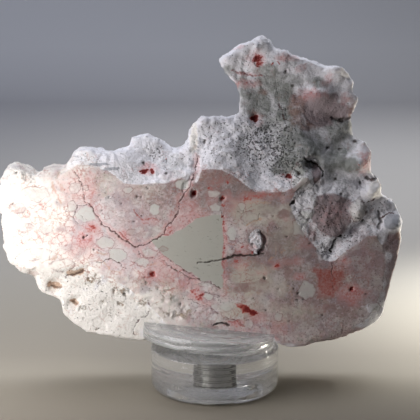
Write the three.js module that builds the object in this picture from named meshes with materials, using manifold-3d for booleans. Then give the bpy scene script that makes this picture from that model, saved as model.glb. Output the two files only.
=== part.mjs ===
// Opal slice standing on a small acrylic display stand. Millimetres, +Z up, the polished face towards -Y.
// The origin is the centre of the stand's underside.
import * as THREE from 'three';
import { mergeVertices } from 'three/addons/utils/BufferGeometryUtils.js';
import Module from 'manifold-3d';

// Stand base: a turned acrylic puck with a blind bore for the magnet.
const BASE_RADIUS = 13;
const BASE_HEIGHT = 8.8;
const BASE_FOOT_ROUND = 1.6;
const BASE_TOP_CHAMFER = 0.3;
const BORE_RADIUS = 3.2;
const BORE_FLOOR = 1.0;
const ROUND_SEGMENTS = 56;

// Rod magnet in the bore.
const FIT_GAP = 0.3;
const ROD_RADIUS = BORE_RADIUS - FIT_GAP;
const ROD_TOP = BASE_HEIGHT - 0.2;
const ROD_CHAMFER = 0.25;

// Upper disc, tipped to one side and back, with a lip in front and a lower seat behind it.
const DISC_CENTRE = new THREE.Vector3(-1.1, -2, 12.73);
const DISC_RADIUS = 13.3;
const DISC_THICKNESS = 2.3;
const DISC_EDGE = 0.25;
const SEAT_RADIUS = 10.8;
const SEAT_DEPTH = 1.3;
const STEP_Y = 0.7;
const LEAN = THREE.MathUtils.degToRad(5);
const ROLL = THREE.MathUtils.degToRad(5.5);

// Steel button under the disc: the disc tips on its dome.
const BUTTON_RADIUS = 1.6;
const BUTTON_TOP = -DISC_THICKNESS - FIT_GAP;
const BUTTON_HEIGHT = 1.25;

// Stone, in its own frame: u to the right and v up along the polished face, depth w behind it.
const STONE_FOOT = new THREE.Vector3(0, -1, 12.62);
const THICKNESS = 11.5;
const GRID_STEP = 0.95;
const GRID_LOW = [-45.6, -6.65];
const GRID_CELLS = [91, 71];
const WALL_DEPTHS = [-1.5, 0, 2.4, 5.2, 8.2, 10.8, 13];
const WALL_ROUGHNESS = 0.38;
const SIMPLIFY = 0.03;

// Edge of the slice, clockwise from the middle of the left end.
const OUTLINE = [
  [-43.2, 25.9], [-43.1, 30.0], [-42.5, 31.7], [-41.8, 32.7], [-40.2, 32.7], [-39.0, 32.1], [-37.3, 31.8],
  [-36.7, 31.0], [-36.2, 30.6], [-35.4, 31.4], [-34.3, 32.5], [-32.5, 32.3], [-30.6, 32.4], [-29.9, 33.2],
  [-29.6, 34.2], [-28.6, 35.2], [-28.0, 35.5], [-27.4, 36.2], [-25.4, 36.1], [-23.5, 35.7], [-21.9, 35.2],
  [-20.6, 35.3], [-19.4, 35.7], [-17.2, 36.2], [-16.8, 38.1], [-16.3, 38.5], [-15.5, 38.5], [-14.0, 38.7],
  [-12.1, 37.9], [-11.0, 37.4], [-9.6, 36.2], [-8.3, 35.9], [-7.0, 35.9], [-5.8, 36.9], [-5.4, 38.3],
  [-5.0, 40.4], [-4.1, 41.0], [-3.4, 42.0], [-2.9, 42.6], [-1.7, 42.5], [1.3, 42.5], [3.1, 42.3], [4.6, 42.7],
  [5.1, 43.4], [5.1, 45.3], [5.3, 46.6], [4.6, 48.8], [2.8, 51.1], [1.8, 52.3], [1.1, 53.8], [1.3, 54.8],
  [3.4, 55.8], [4.6, 57.2], [6.8, 57.8], [7.6, 57.9], [8.6, 58.7], [9.4, 59.0], [11.0, 58.2], [11.7, 57.5],
  [12.4, 56.2], [14.1, 55.9], [16.0, 55.1], [17.4, 54.6], [19.7, 54.1], [21.6, 53.1], [23.0, 52.8],
  [24.9, 53.0], [26.4, 52.4], [27.2, 51.1], [28.3, 49.4], [28.0, 47.4], [28.9, 46.8], [29.3, 46.0],
  [28.6, 44.1], [27.6, 42.6], [27.9, 40.7], [27.9, 38.8], [29.0, 37.9], [30.6, 37.3], [32.0, 35.3],
  [31.7, 32.9], [32.1, 30.8], [33.1, 30.5], [34.1, 28.9], [33.6, 27.0], [35.4, 25.9], [36.8, 25.2],
  [37.4, 23.6], [38.1, 21.0], [37.6, 19.8], [37.7, 17.6], [37.0, 14.1], [36.0, 11.0], [34.9, 6.7],
  [34.3, 4.2], [34.2, 2.8], [33.4, 1.6], [30.6, -0.1], [27.2, -1.3], [24.4, -2.3], [21.6, -2.7],
  [18.7, -3.7], [16.1, -4.3], [13.8, -3.7], [12.2, -2.9], [11.6, -2.2], [-12.2, 0.1], [-12.6, -2.6],
  [-14.8, -2.8], [-17.2, -2.8], [-19.5, -2.5], [-21.3, -1.9], [-23.6, -1.7], [-26.2, -1.4], [-27.4, -0.3],
  [-28.8, 0.5], [-30.4, 1.9], [-31.0, 2.6], [-31.0, 4.4], [-31.5, 5.6], [-33.0, 6.1], [-33.8, 6.7],
  [-35.2, 7.1], [-36.1, 8.5], [-36.5, 9.3], [-35.7, 10.2], [-37.0, 10.6], [-38.0, 10.9], [-39.7, 11.5],
  [-41.0, 12.7], [-42.1, 14.5], [-42.6, 16.8], [-42.2, 18.1], [-43.0, 19.3],
];
const SEATED = { low: -12.4, high: 11.8, top: 0.5 };

// The flat polished field of the face. Everything outside it is natural rough stone that falls back.
const POLISHED = [
  [-46, 26], [-43.6, 30.0], [-40.0, 31.4], [-37.5, 30.4], [-36.2, 29.4], [-34.5, 31.0], [-30.8, 31.2],
  [-29.4, 32.4], [-27.5, 33.4], [-25.4, 33.6], [-23.0, 33.0], [-20.6, 32.1], [-18.8, 30.3], [-17.0, 29.5],
  [-13.6, 29.5], [-9.4, 30.1], [-5.6, 30.9], [-3.8, 31.5], [-3.0, 32.7], [0.6, 32.7], [3.8, 31.5],
  [5.8, 29.7], [8.2, 28.1], [11.4, 27.8], [14.4, 28.1], [16.2, 29.1], [17.6, 31.0], [19.0, 31.6],
  [20.2, 30.2], [19.4, 28.6], [17.4, 27.4], [14.8, 26.5], [15.5, 24.0], [17.0, 21.0], [19.0, 18.6],
  [20.6, 17.0], [21.0, 15.8], [23.2, 14.5], [25.6, 15.4], [28.2, 17.4], [31.3, 19.5], [33.0, 19.7],
  [34.0, 17.6], [34.8, 16.2], [34.9, 13.0], [34.4, 9.0], [33.4, 5.5], [32.6, 3.5], [31.0, 1.6],
  [27.0, -0.6], [24.3, -1.6], [21.5, -2.0], [18.6, -2.9], [16.1, -3.5], [13.9, -2.9], [12.0, -4.0],
  [-8.0, -4.0], [-10.5, 1.2], [-13.8, 4.6], [-18.0, 8.2], [-22.5, 10.5], [-26.5, 11.4], [-28.5, 11.7],
  [-33.0, 11.6], [-37.0, 11.8], [-40.2, 13.0], [-41.8, 15.0], [-46, 18],
];

// How far the rough surface lies behind the polished face, at chosen spots: [u, v, depth].
const SETBACKS = [
  [-40, 32.5, 2.5], [-32, 32.2, 2.5], [-27, 35.5, 3.5], [-20, 35, 4.5], [-15, 37, 6], [-10, 36, 5.5],
  [-6, 35, 4.5], [-4, 39, 6.5], [0, 40, 6.5], [4, 41, 7], [8, 41, 7.5], [12, 41, 7.5], [16, 41, 7.4],
  [14, 35, 5], [8, 35, 5.5], [3, 37, 6], [3, 52, 7.5], [3, 54, 7.2], [8, 56, 6.5], [12, 54, 6.3],
  [10, 58, 7.5], [6, 49, 8.5], [9, 46, 9], [12, 46, 8.8], [16, 52, 7], [20, 52, 7], [25, 51.5, 6.8],
  [20, 46, 6.2], [24, 45, 6], [27, 46, 6.5], [18, 44, 7.2], [15, 46, 8], [24, 41.9, 8.2], [25, 40, 6.2],
  [23, 38.6, 6.4], [27, 38.8, 7], [20, 39.5, 6.8], [17.5, 36.5, 5], [19.5, 35.6, 4.6], [24, 36.4, 6.8],
  [28, 36.6, 6.2], [23, 33, 3.4], [26, 33, 3], [29, 33, 2.6], [31, 33.5, 3.2], [30.5, 36, 4.5],
  [24, 31, 4.4], [28, 30.6, 3.8], [24, 29.5, 2.6], [27, 29, 2.4], [25, 27.6, 1.5], [22, 30, 2.8],
  [21.6, 28.4, 1.3], [29.8, 29.5, 3.6], [28.5, 27.6, 2.2], [21, 26, 0.6], [24, 26, 0.7], [22, 22, 0.6],
  [25, 22, 0.7], [23, 19.5, 0.9], [26.5, 20, 0.9], [19, 24, 0.4], [29, 24, 0.9], [29, 22, 1],
  [31.5, 25.5, 2.4], [33.5, 25, 2.8], [36, 24.5, 3.4], [31.5, 22.5, 2.5], [33.5, 22, 2.8], [30, 20.5, 2],
  [31.3, 21, 2.4], [28.5, 19.3, 1.8], [36, 18, 1.8], [36.8, 15, 2.2], [36, 11.5, 1.8], [35, 7, 1.4],
  [34.2, 4, 1.2], [30, -0.2, 0.9], [21, -2.8, 0.9], [16, -4.4, 0.9], [-34, 8, 1.3], [-28, 4, 1.1],
  [-24, 1, 1.1], [-20, 0, 1], [-16, 1, 0.8], [-24, 7, 0.7], [-14, -1, 1], [-31, 9, 1],
];
const FALL_SLOPES = [[-46, 1.1], [-6, 1.1], [-2, 0.66], [17, 0.66], [21, 1.3], [40, 1.3]];

// Rounded lumps that stand proud and hollows that go in: [u, v, radius, height or depth].
const LUMPS = [
  [31.8, 27.7, 2.0, 1.7], [36.0, 21.2, 2.1, 1.7], [9.4, 57.4, 2.4, 0.9], [3.4, 54.2, 2.2, 0.8],
  [24.8, 52.0, 2.4, 0.9], [14.5, 54.5, 2.6, 0.6], [21.5, 47.2, 3.2, 0.8], [29.0, 33.6, 2.6, 0.9],
  [29.0, 23.2, 2.0, 0.6], [-14.6, 36.6, 2.2, 0.8], [18.4, 36.2, 2.2, 0.7],
];
const HOLLOWS = [
  [-32.6, 8.5, 1.8, 2.4], [-28.6, 5.0, 1.4, 1.9], [-36.9, 11.2, 1.2, 1.2], [8.7, 17.5, 2.0, 3.0],
  [-4.2, 27.3, 1.2, 1.9], [1.4, 26.5, 0.9, 1.0], [19.8, 33.1, 2.1, 5.0], [8.1, 42.2, 1.2, 1.8],
  [-2.2, 37.6, 0.9, 0.9], [29.9, 29.3, 1.1, 1.8], [30.0, 22.0, 1.1, 1.4], [34.8, 18.8, 1.4, 1.1],
  [14.4, 31.2, 0.9, 1.2], [16.4, 32.2, 0.9, 1.4],
];

// Cracks and ravines wide enough to see: half width, depth, then the line.
const CREASES = [
  { half: 1.4, depth: 2.8, line: [[30.0, 21.2], [27.6, 19.4], [25.6, 18.2], [24.3, 16.8], [23.4, 15.3]] },
  { half: 0.9, depth: 1.5, line: [[-5.6, 28.5], [-4.2, 31.0], [-3.5, 33.5], [-3.4, 36.0]] },
  { half: 1.0, depth: 1.7, line: [[-31.0, 10.7], [-28.0, 10.9], [-26.2, 11.8]] },
  { half: 0.9, depth: 1.1, line: [[5.2, 51.9], [8.0, 51.2], [11.8, 50.9]] },
  { half: 0.9, depth: 1.4, line: [[20.4, 31.6], [19.8, 29.0], [17.4, 27.5]] },
];

const FRONT_GRAIN = [[0.3, 0.34, 11], [0.16, 0.75, 29]];

const wasm = await Module();
wasm.setup();
const { Manifold, Mesh } = wasm;

function smoothstep(t) {
  const s = Math.min(1, Math.max(0, t));
  return s * s * (3 - 2 * s);
}

// Repeatable value in 0..1 for a whole-number cell.
function cellValue(i, j, seed) {
  const h = Math.sin(i * 127.1 + j * 311.7 + seed * 74.7) * 43758.5453;
  return h - Math.floor(h);
}

// Smooth noise in -1..1.
function noise(x, y, seed) {
  const i = Math.floor(x);
  const j = Math.floor(y);
  const fx = smoothstep(x - i);
  const fy = smoothstep(y - j);
  const low = cellValue(i, j, seed) * (1 - fx) + cellValue(i + 1, j, seed) * fx;
  const high = cellValue(i, j + 1, seed) * (1 - fx) + cellValue(i + 1, j + 1, seed) * fx;
  return 2 * (low * (1 - fy) + high * fy) - 1;
}

function lineDistance(u, v, a, b) {
  const du = b[0] - a[0];
  const dv = b[1] - a[1];
  const t = Math.min(1, Math.max(0, ((u - a[0]) * du + (v - a[1]) * dv) / (du * du + dv * dv)));
  return Math.hypot(u - a[0] - t * du, v - a[1] - t * dv);
}

// Distance to the polished field's edge, 0 inside it.
function distanceOutside(u, v) {
  let inside = false;
  let nearest = Infinity;
  POLISHED.forEach((a, i) => {
    const b = POLISHED[(i + 1) % POLISHED.length];
    nearest = Math.min(nearest, lineDistance(u, v, a, b));
    if (a[1] > v !== b[1] > v && u < ((b[0] - a[0]) * (v - a[1])) / (b[1] - a[1]) + a[0]) {
      inside = !inside;
    }
  });
  return inside ? 0 : nearest;
}

function setback(u, v) {
  let total = 0;
  let weights = 0;
  for (const [pu, pv, depth] of SETBACKS) {
    const weight = 1 / (0.3 + (u - pu) ** 2 + (v - pv) ** 2) ** 2;
    total += weight * depth;
    weights += weight;
  }
  return total / weights;
}

function fallSlope(u) {
  const next = Math.max(1, FALL_SLOPES.findIndex(([at]) => at >= u));
  const [u0, slope0] = FALL_SLOPES[next - 1];
  const [u1, slope1] = FALL_SLOPES[next];
  return THREE.MathUtils.lerp(slope0, slope1, THREE.MathUtils.clamp((u - u0) / (u1 - u0), 0, 1));
}

function creaseDepth(u, v) {
  let depth = 0;
  for (const crease of CREASES) {
    for (let i = 1; i < crease.line.length; i++) {
      const away = lineDistance(u, v, crease.line[i - 1], crease.line[i]);
      depth = Math.max(depth, crease.depth * smoothstep(1 - away / crease.half));
    }
  }
  return depth;
}

// Depth of the front surface behind the polished plane.
function frontDepth(u, v) {
  const outside = distanceOutside(u, v);
  const plateau = setback(u, v);
  const fall = fallSlope(u) * outside;
  let depth = plateau * (1 - Math.exp(-((fall / plateau) ** 1.5))) ** (1 / 1.5);
  const rough = smoothstep(outside / 1.2);
  for (const [size, pace, seed] of FRONT_GRAIN) {
    depth += rough * Math.min(1, plateau / 2) * size * noise(u * pace, v * pace, seed);
  }
  for (const [lu, lv, radius, height] of LUMPS) {
    depth -= height * Math.max(0, 1 - ((u - lu) ** 2 + (v - lv) ** 2) / radius ** 2);
  }
  for (const [hu, hv, radius, hollow] of HOLLOWS) {
    depth += hollow * smoothstep(1.4 * (1 - Math.hypot(u - hu, v - hv) / radius));
  }
  return Math.max(0, depth + creaseDepth(u, v));
}

function geometryFrom(positions, indices) {
  const geometry = new THREE.BufferGeometry();
  geometry.setAttribute('position', new THREE.Float32BufferAttribute(positions, 3));
  geometry.setIndex(indices);
  return geometry;
}

// Position-only geometry with shared vertices and no collapsed triangles.
function weld(geometry) {
  const bare = new THREE.BufferGeometry();
  bare.setAttribute('position', geometry.getAttribute('position').clone());
  if (geometry.index) bare.setIndex(geometry.index.clone());
  const merged = mergeVertices(bare, 1e-4);
  const kept = [];
  const index = merged.index.array;
  for (let i = 0; i < index.length; i += 3) {
    const [a, b, c] = [index[i], index[i + 1], index[i + 2]];
    if (a !== b && b !== c && c !== a) kept.push(a, b, c);
  }
  merged.setIndex(kept);
  return merged;
}

function toManifold(geometry) {
  const welded = weld(geometry);
  return new Manifold(
    new Mesh({
      numProp: 3,
      vertProperties: new Float32Array(welded.getAttribute('position').array),
      triVerts: new Uint32Array(welded.index.array),
    }),
  );
}

function fromManifold(solid) {
  const mesh = solid.getMesh();
  const positions = [];
  for (let i = 0; i < mesh.numVert; i++) {
    positions.push(...mesh.vertProperties.subarray(i * mesh.numProp, i * mesh.numProp + 3));
  }
  return geometryFrom(positions, [...mesh.triVerts]);
}

// A turned body: the profile goes from the axis at the bottom, round the outside, to the axis at the top.
function turned(profile) {
  const points = profile.map(([r, z]) => new THREE.Vector2(r, z));
  const geometry = weld(new THREE.LatheGeometry(points, ROUND_SEGMENTS));
  return geometry.rotateX(Math.PI / 2);
}

// Block between the front surface and the flat sawn back, wider than the slice.
function stoneSlab() {
  const [columns, rows] = GRID_CELLS;
  const positions = [];
  const indices = [];
  for (const back of [false, true]) {
    for (let j = 0; j <= rows; j++) {
      for (let i = 0; i <= columns; i++) {
        const u = GRID_LOW[0] + i * GRID_STEP;
        const v = GRID_LOW[1] + j * GRID_STEP;
        positions.push(u, back ? THICKNESS : frontDepth(u, v), v);
      }
    }
  }
  const layer = (columns + 1) * (rows + 1);
  const at = (i, j, back) => j * (columns + 1) + i + (back ? layer : 0);
  const quad = (a, b, c, d) => indices.push(a, b, c, a, c, d);
  for (let j = 0; j < rows; j++) {
    for (let i = 0; i < columns; i++) {
      quad(at(i, j), at(i + 1, j), at(i + 1, j + 1), at(i, j + 1));
      quad(at(i, j, true), at(i, j + 1, true), at(i + 1, j + 1, true), at(i + 1, j, true));
    }
  }
  for (let i = 0; i < columns; i++) {
    quad(at(i, 0), at(i, 0, true), at(i + 1, 0, true), at(i + 1, 0));
    quad(at(i, rows), at(i + 1, rows), at(i + 1, rows, true), at(i, rows, true));
  }
  for (let j = 0; j < rows; j++) {
    quad(at(0, j), at(0, j + 1), at(0, j + 1, true), at(0, j, true));
    quad(at(columns, j), at(columns, j, true), at(columns, j + 1, true), at(columns, j + 1));
  }
  return toManifold(geometryFrom(positions, indices));
}

// Rough side walls: rings of the outline, each moved in or out a little, closed at both ends.
function stoneWalls() {
  const count = OUTLINE.length;
  const positions = [];
  const indices = [];
  WALL_DEPTHS.forEach((depth, ring) => {
    OUTLINE.forEach(([u, v], i) => {
      const [pu, pv] = OUTLINE[(i + count - 1) % count];
      const [nu, nv] = OUTLINE[(i + 1) % count];
      const length = Math.hypot(nu - pu, nv - pv);
      const seated = u > SEATED.low && u < SEATED.high && v < SEATED.top;
      const amount = depth <= 0 || seated ? 0 : WALL_ROUGHNESS * noise(i * 0.45, ring * 1.7, 5);
      positions.push(u - ((nv - pv) / length) * amount, depth, v + ((nu - pu) / length) * amount);
    });
  });
  for (let ring = 1; ring < WALL_DEPTHS.length; ring++) {
    for (let i = 0; i < count; i++) {
      const next = (i + 1) % count;
      const [a, b] = [(ring - 1) * count + i, (ring - 1) * count + next];
      const [c, d] = [ring * count + next, ring * count + i];
      indices.push(a, b, c, a, c, d);
    }
  }
  const contour = OUTLINE.map(([u, v]) => new THREE.Vector2(u, v));
  const last = (WALL_DEPTHS.length - 1) * count;
  for (const [a, b, c] of THREE.ShapeUtils.triangulateShape(contour, [])) {
    indices.push(a, b, c, last + c, last + b, last + a);
  }
  return toManifold(geometryFrom(positions, indices));
}

// The flat field and the sawn back need few triangles, so vertices that carry no shape are dropped.
function stoneGeometry() {
  return fromManifold(stoneSlab().intersect(stoneWalls()).simplify(SIMPLIFY));
}

function baseGeometry() {
  const profile = [[0, 0]];
  for (let k = 0; k <= 6; k++) {
    const angle = (k / 6) * (Math.PI / 2);
    profile.push([
      BASE_RADIUS - BASE_FOOT_ROUND + BASE_FOOT_ROUND * Math.sin(angle),
      BASE_FOOT_ROUND - BASE_FOOT_ROUND * Math.cos(angle),
    ]);
  }
  profile.push([BASE_RADIUS, BASE_HEIGHT - BASE_TOP_CHAMFER]);
  profile.push([BASE_RADIUS - BASE_TOP_CHAMFER, BASE_HEIGHT]);
  profile.push([BORE_RADIUS, BASE_HEIGHT]);
  profile.push([BORE_RADIUS, BORE_FLOOR]);
  profile.push([0, BORE_FLOOR]);
  return turned(profile);
}

function rodGeometry() {
  return turned([
    [0, BORE_FLOOR + FIT_GAP],
    [ROD_RADIUS - ROD_CHAMFER, BORE_FLOOR + FIT_GAP],
    [ROD_RADIUS, BORE_FLOOR + FIT_GAP + ROD_CHAMFER],
    [ROD_RADIUS, ROD_TOP - ROD_CHAMFER],
    [ROD_RADIUS - ROD_CHAMFER, ROD_TOP],
    [0, ROD_TOP],
  ]);
}

function buttonGeometry() {
  const low = BUTTON_TOP - BUTTON_HEIGHT;
  return turned([
    [0, low],
    [BUTTON_RADIUS * 0.45, low + 0.1],
    [BUTTON_RADIUS * 0.82, low + 0.38],
    [BUTTON_RADIUS, low + 0.75],
    [BUTTON_RADIUS, BUTTON_TOP],
    [0, BUTTON_TOP],
  ]);
}

// Full disc in front of the step, and only the thinner seat behind it.
function discGeometry() {
  const disc = toManifold(
    turned([
      [0, -DISC_THICKNESS],
      [DISC_RADIUS - DISC_EDGE, -DISC_THICKNESS],
      [DISC_RADIUS, -DISC_THICKNESS + DISC_EDGE],
      [DISC_RADIUS, -DISC_EDGE],
      [DISC_RADIUS - DISC_EDGE, 0],
      [0, 0],
    ]),
  );
  const seat = toManifold(
    turned([
      [0, -DISC_THICKNESS],
      [SEAT_RADIUS, -DISC_THICKNESS],
      [SEAT_RADIUS, -SEAT_DEPTH],
      [0, -SEAT_DEPTH],
    ]),
  );
  const behind = new THREE.BoxGeometry(40, 20, 10).translate(0, STEP_Y + 10, 0);
  return fromManifold(disc.subtract(toManifold(behind)).add(seat));
}

function piece(name, geometry, settings) {
  const flat = geometry.toNonIndexed();
  flat.computeVertexNormals();
  const mesh = new THREE.Mesh(flat, new THREE.MeshStandardMaterial(settings));
  mesh.name = name;
  return mesh;
}

const object = new THREE.Group();
object.name = 'opal_slice_on_stand';

const stone = piece('opal_slice', stoneGeometry(), { color: 0xc9b3ab, roughness: 0.55 });
stone.position.copy(STONE_FOOT);
stone.rotation.x = -LEAN;
object.add(stone);

const disc = piece('top_disc', discGeometry(), { color: 0xdfe6ea, roughness: 0.1, transparent: true, opacity: 0.4 });
disc.position.copy(DISC_CENTRE);
disc.rotation.set(-LEAN, ROLL, 0);
object.add(disc);

const button = piece('tilt_button', buttonGeometry(), { color: 0xb9bcc0, metalness: 1, roughness: 0.3 });
button.position.copy(DISC_CENTRE);
button.rotation.set(-LEAN, ROLL, 0);
object.add(button);

object.add(piece('rod_magnet', rodGeometry(), { color: 0xb4b6b8, metalness: 1, roughness: 0.25 }));

object.add(
  piece('stand_base', baseGeometry(), { color: 0xdfe6ea, roughness: 0.1, transparent: true, opacity: 0.4 }),
);

export default object;
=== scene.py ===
import math

import bpy
import numpy as np
from mathutils import Matrix, Vector, noise


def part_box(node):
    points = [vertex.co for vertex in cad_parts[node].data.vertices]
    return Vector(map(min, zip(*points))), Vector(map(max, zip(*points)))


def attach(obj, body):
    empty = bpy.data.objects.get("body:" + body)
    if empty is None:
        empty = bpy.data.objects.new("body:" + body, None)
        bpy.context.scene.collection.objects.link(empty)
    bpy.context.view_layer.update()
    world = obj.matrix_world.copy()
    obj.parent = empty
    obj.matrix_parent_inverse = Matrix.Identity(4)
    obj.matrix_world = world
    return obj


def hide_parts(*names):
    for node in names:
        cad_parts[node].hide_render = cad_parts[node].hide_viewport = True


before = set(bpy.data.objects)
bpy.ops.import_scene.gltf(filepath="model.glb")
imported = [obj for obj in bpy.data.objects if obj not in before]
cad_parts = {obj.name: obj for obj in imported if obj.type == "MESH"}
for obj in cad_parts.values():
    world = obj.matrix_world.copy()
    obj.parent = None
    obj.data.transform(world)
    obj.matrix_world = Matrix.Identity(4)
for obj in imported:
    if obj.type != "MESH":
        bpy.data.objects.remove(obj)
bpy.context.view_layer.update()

# ---------------------------------------------------------------- opal slice
# A saw-cut slice of brecciated common opal with cinnabar in its cracks, about 81 x 64 x 11.5 mm. The front is
# lapped flat and half polished, the back is left as sawn, and the rest is the nodule's natural rough skin. It
# stands on the lower step of the acrylic disc and leans back with it.
MM = 0.001
LEAN = math.radians(5)
STONE_FOOT = Vector((0, -1, 12.62))  # mm, the middle of the foot of the lapped face
THICKNESS = 11.5
FLAT_LAYER = 0.12  # mm under the lapped face and over the sawn back that count as flat
SKIN = 0.56  # mm between the lines of the grid that the rough skin is rebuilt on
CRACK_MARGIN = 0.12  # mm beside a crack that are split finer

# Places on the slice are (across, up) in mm along the lapped face, from the middle of its foot. A line is its
# half width, its strength and its points. Open cracks are brown hairlines, cut a little into the face.
OPEN_CRACKS = [
    (0.24, 1, [(-28.1, 31.8), (-27.1, 30.7), (-26.8, 29.3), (-26.2, 27.3), (-26.1, 25.9), (-25.4, 25.5)]),
    (0.25, 1, [(-25.4, 25.5), (-25, 25.1), (-24.4, 23.9), (-23.8, 23), (-23.3, 22.6), (-22.6, 21.2)]),
    (0.25, 1, [(-22.6, 21.2), (-21.6, 20.8), (-20.8, 20), (-19.6, 19.3), (-18.4, 18.2), (-17.6, 17.6)]),
    (0.27, 1, [(-17.6, 17.6), (-16.8, 17.2), (-16, 16.6), (-15.2, 17), (-14.3, 17.2), (-13.3, 17.3)]),
    (0.25, 1, [(-13.3, 17.3), (-12.6, 17.7), (-11.6, 18.1), (-10.9, 18.6), (-10.2, 19.6), (-9.8, 20.4)]),
    (0.25, 1, [(-9.8, 20.4), (-9.4, 21), (-8.6, 21.6), (-8.1, 22.3), (-7.5, 23.6), (-7, 24.5)]),
    (0.28, 1, [(-7, 24.5), (-7.2, 25.5), (-7.1, 26.2), (-6.5, 26.8), (-5.9, 27.7), (-5, 28.7)]),
    (0.26, 1, [(-5, 28.7), (-4.8, 29.8), (-4.2, 30.8), (-3.8, 32), (-3.7, 32.9), (-3.6, 34.5)]),
    (0.17, 0.7, [(-15.2, 15.8), (-15, 15.2), (-13.7, 14.7), (-12.4, 14.4), (-10.9, 14.2), (-10, 13.5)]),
    (0.2, 0.9, [(-10, 13.5), (-9, 12.7), (-7.5, 11.7), (-6.4, 11.3), (-5, 10.4), (-3.8, 9.8)]),
    (0.17, 0.7, [(-5, 10.2), (-5.2, 9.5), (-5.5, 8.9)]),
    (0.18, 0.8, [(-12.8, 16.8), (-11.9, 15.9), (-10.9, 15.4), (-9.2, 14.1), (-7.2, 12.7), (-5.8, 11.8)]),
    (0.2, 0.9, [(-5.8, 11.8), (-4.8, 11.3), (-3.8, 10.3), (-3, 9.7), (-1.2, 9.5), (0, 8.8), (1.3, 8.1)]),
    (0.15, 0.6, [(-2.2, 7.4), (-0.5, 7), (1.2, 6.6)]),
    (0.17, 0.7, [(-5.2, 5.9), (-3.8, 5.2), (-2.2, 4.5), (-0.8, 4), (0.4, 3.2), (1.2, 2.6), (2.8, 2)]),
    (0.17, 0.7, [(2.8, 2), (4.6, 1.5), (5.8, 0.6)]),
    (0.14, 0.6, [(-2.5, 5.7), (-1, 4.6)]),
    (0.17, 0.8, [(23.8, 13.4), (23.8, 11.9), (23.6, 9.7), (24.1, 7.8)]),
    (0.17, 0.8, [(26.2, 1.6), (26.2, 0.4), (25.8, -1.1)]),
    (0.17, 0.55, [(-40.3, 14.3), (-39.4, 15.2), (-38.4, 16), (-37, 16.7)]),
    (0.14, 0.35, [(-32.6, 29.3), (-32.6, 28.1)]),
    (0.14, 0.35, [(-31.6, 27.9), (-31.7, 27), (-31.2, 25.9)]),
    (0.14, 0.4, [(-34.7, 13.9), (-32.3, 14.3), (-31.7, 15.4)]),
    (0.18, 0.9, [(-23.8, 13.6), (-22.4, 13.7), (-21, 14.4), (-20, 13.8), (-19, 13.3), (-17.8, 12.2)]),
    (0.14, 0.4, [(-22.4, 12.9), (-21.4, 11.9), (-20.2, 11.7), (-19.2, 11.7)]),
    (0.15, 0.6, [(-24.4, 16.2), (-23.2, 15.8), (-22.1, 15.3)]),
    (0.15, 0.6, [(-21.2, 15.8), (-20.4, 16.3), (-20, 16.8)]),
    (0.15, 0.7, [(-16.9, 24.4), (-16.2, 23.9), (-15.6, 23.4), (-14.8, 22.8)]),
    (0.17, 0.8, [(-27.6, 21.4), (-28.6, 22.6), (-28.2, 23.5), (-27.6, 25), (-26.2, 25.2), (-25, 25.1)]),
    (0.14, 0.6, [(-27.4, 23.5), (-26.2, 22.2)]),
    (0.14, 0.6, [(-25.9, 22.4), (-25.2, 21.9)]),
    (0.14, 0.6, [(9.1, 23.7), (8.6, 22.4), (7.6, 22.1), (6.5, 21.4)]),
    (0.2, 0.9, [(-13.3, 3.8), (-13.8, 2.4), (-15, 2), (-16.1, 0.6), (-16.6, -0.6), (-16.4, -1.6)]),
    (0.2, 0.7, [(-31, 10.7), (-28, 10.9), (-26.2, 11.7)]),
    (0.3, 1, [(33.6, 22.1), (34.8, 22.9), (36.2, 23.3)]),
    (0.25, 1, [(29.6, 25.6), (31, 25.3), (32.4, 26.3)]),
    (0.16, 0.5, [(3.2, 51.9), (5.2, 51.5), (7.7, 50.9), (9.3, 51), (12, 50.6)]),
    (0.16, 0.6, [(16.8, 23.9), (17.4, 23), (18.5, 22)]),
    (0.2, 0.6, [(7.9, 53.5), (9.1, 52.5)]),
    (0.16, 0.7, [(4.6, 24), (4.9, 23.7), (5.6, 23.7), (6.2, 24.3), (6.1, 25.1)]),
    (0.16, 0.5, [(-4.6, 28.3), (-4, 28.5), (-3.5, 28.1)]),
    (0.2, 0.7, [(-12.9, 4.6), (-13.6, 5.3)]),
    (0.14, 0.5, [(6, 9.9), (7.8, 10.1), (9.4, 10.3), (10.9, 9.6)]),
    (0.2, 0.8, [(-26.4, 18.3), (-25.6, 19)]),
    (0.16, 0.6, [(-15.2, 15.8), (-14.9, 14.6), (-16.2, 13.4)]),
    (0.18, 0.7, [(11.9, 20.5), (13.2, 20.6)]),
    (0.2, 0.7, [(16.7, 24.1), (17.5, 23.3), (18.7, 21.9)]),
    (0.3, 0.7, [(13, 45), (13.8, 44), (14, 42.6), (14.8, 41.8)]),
]
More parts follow.
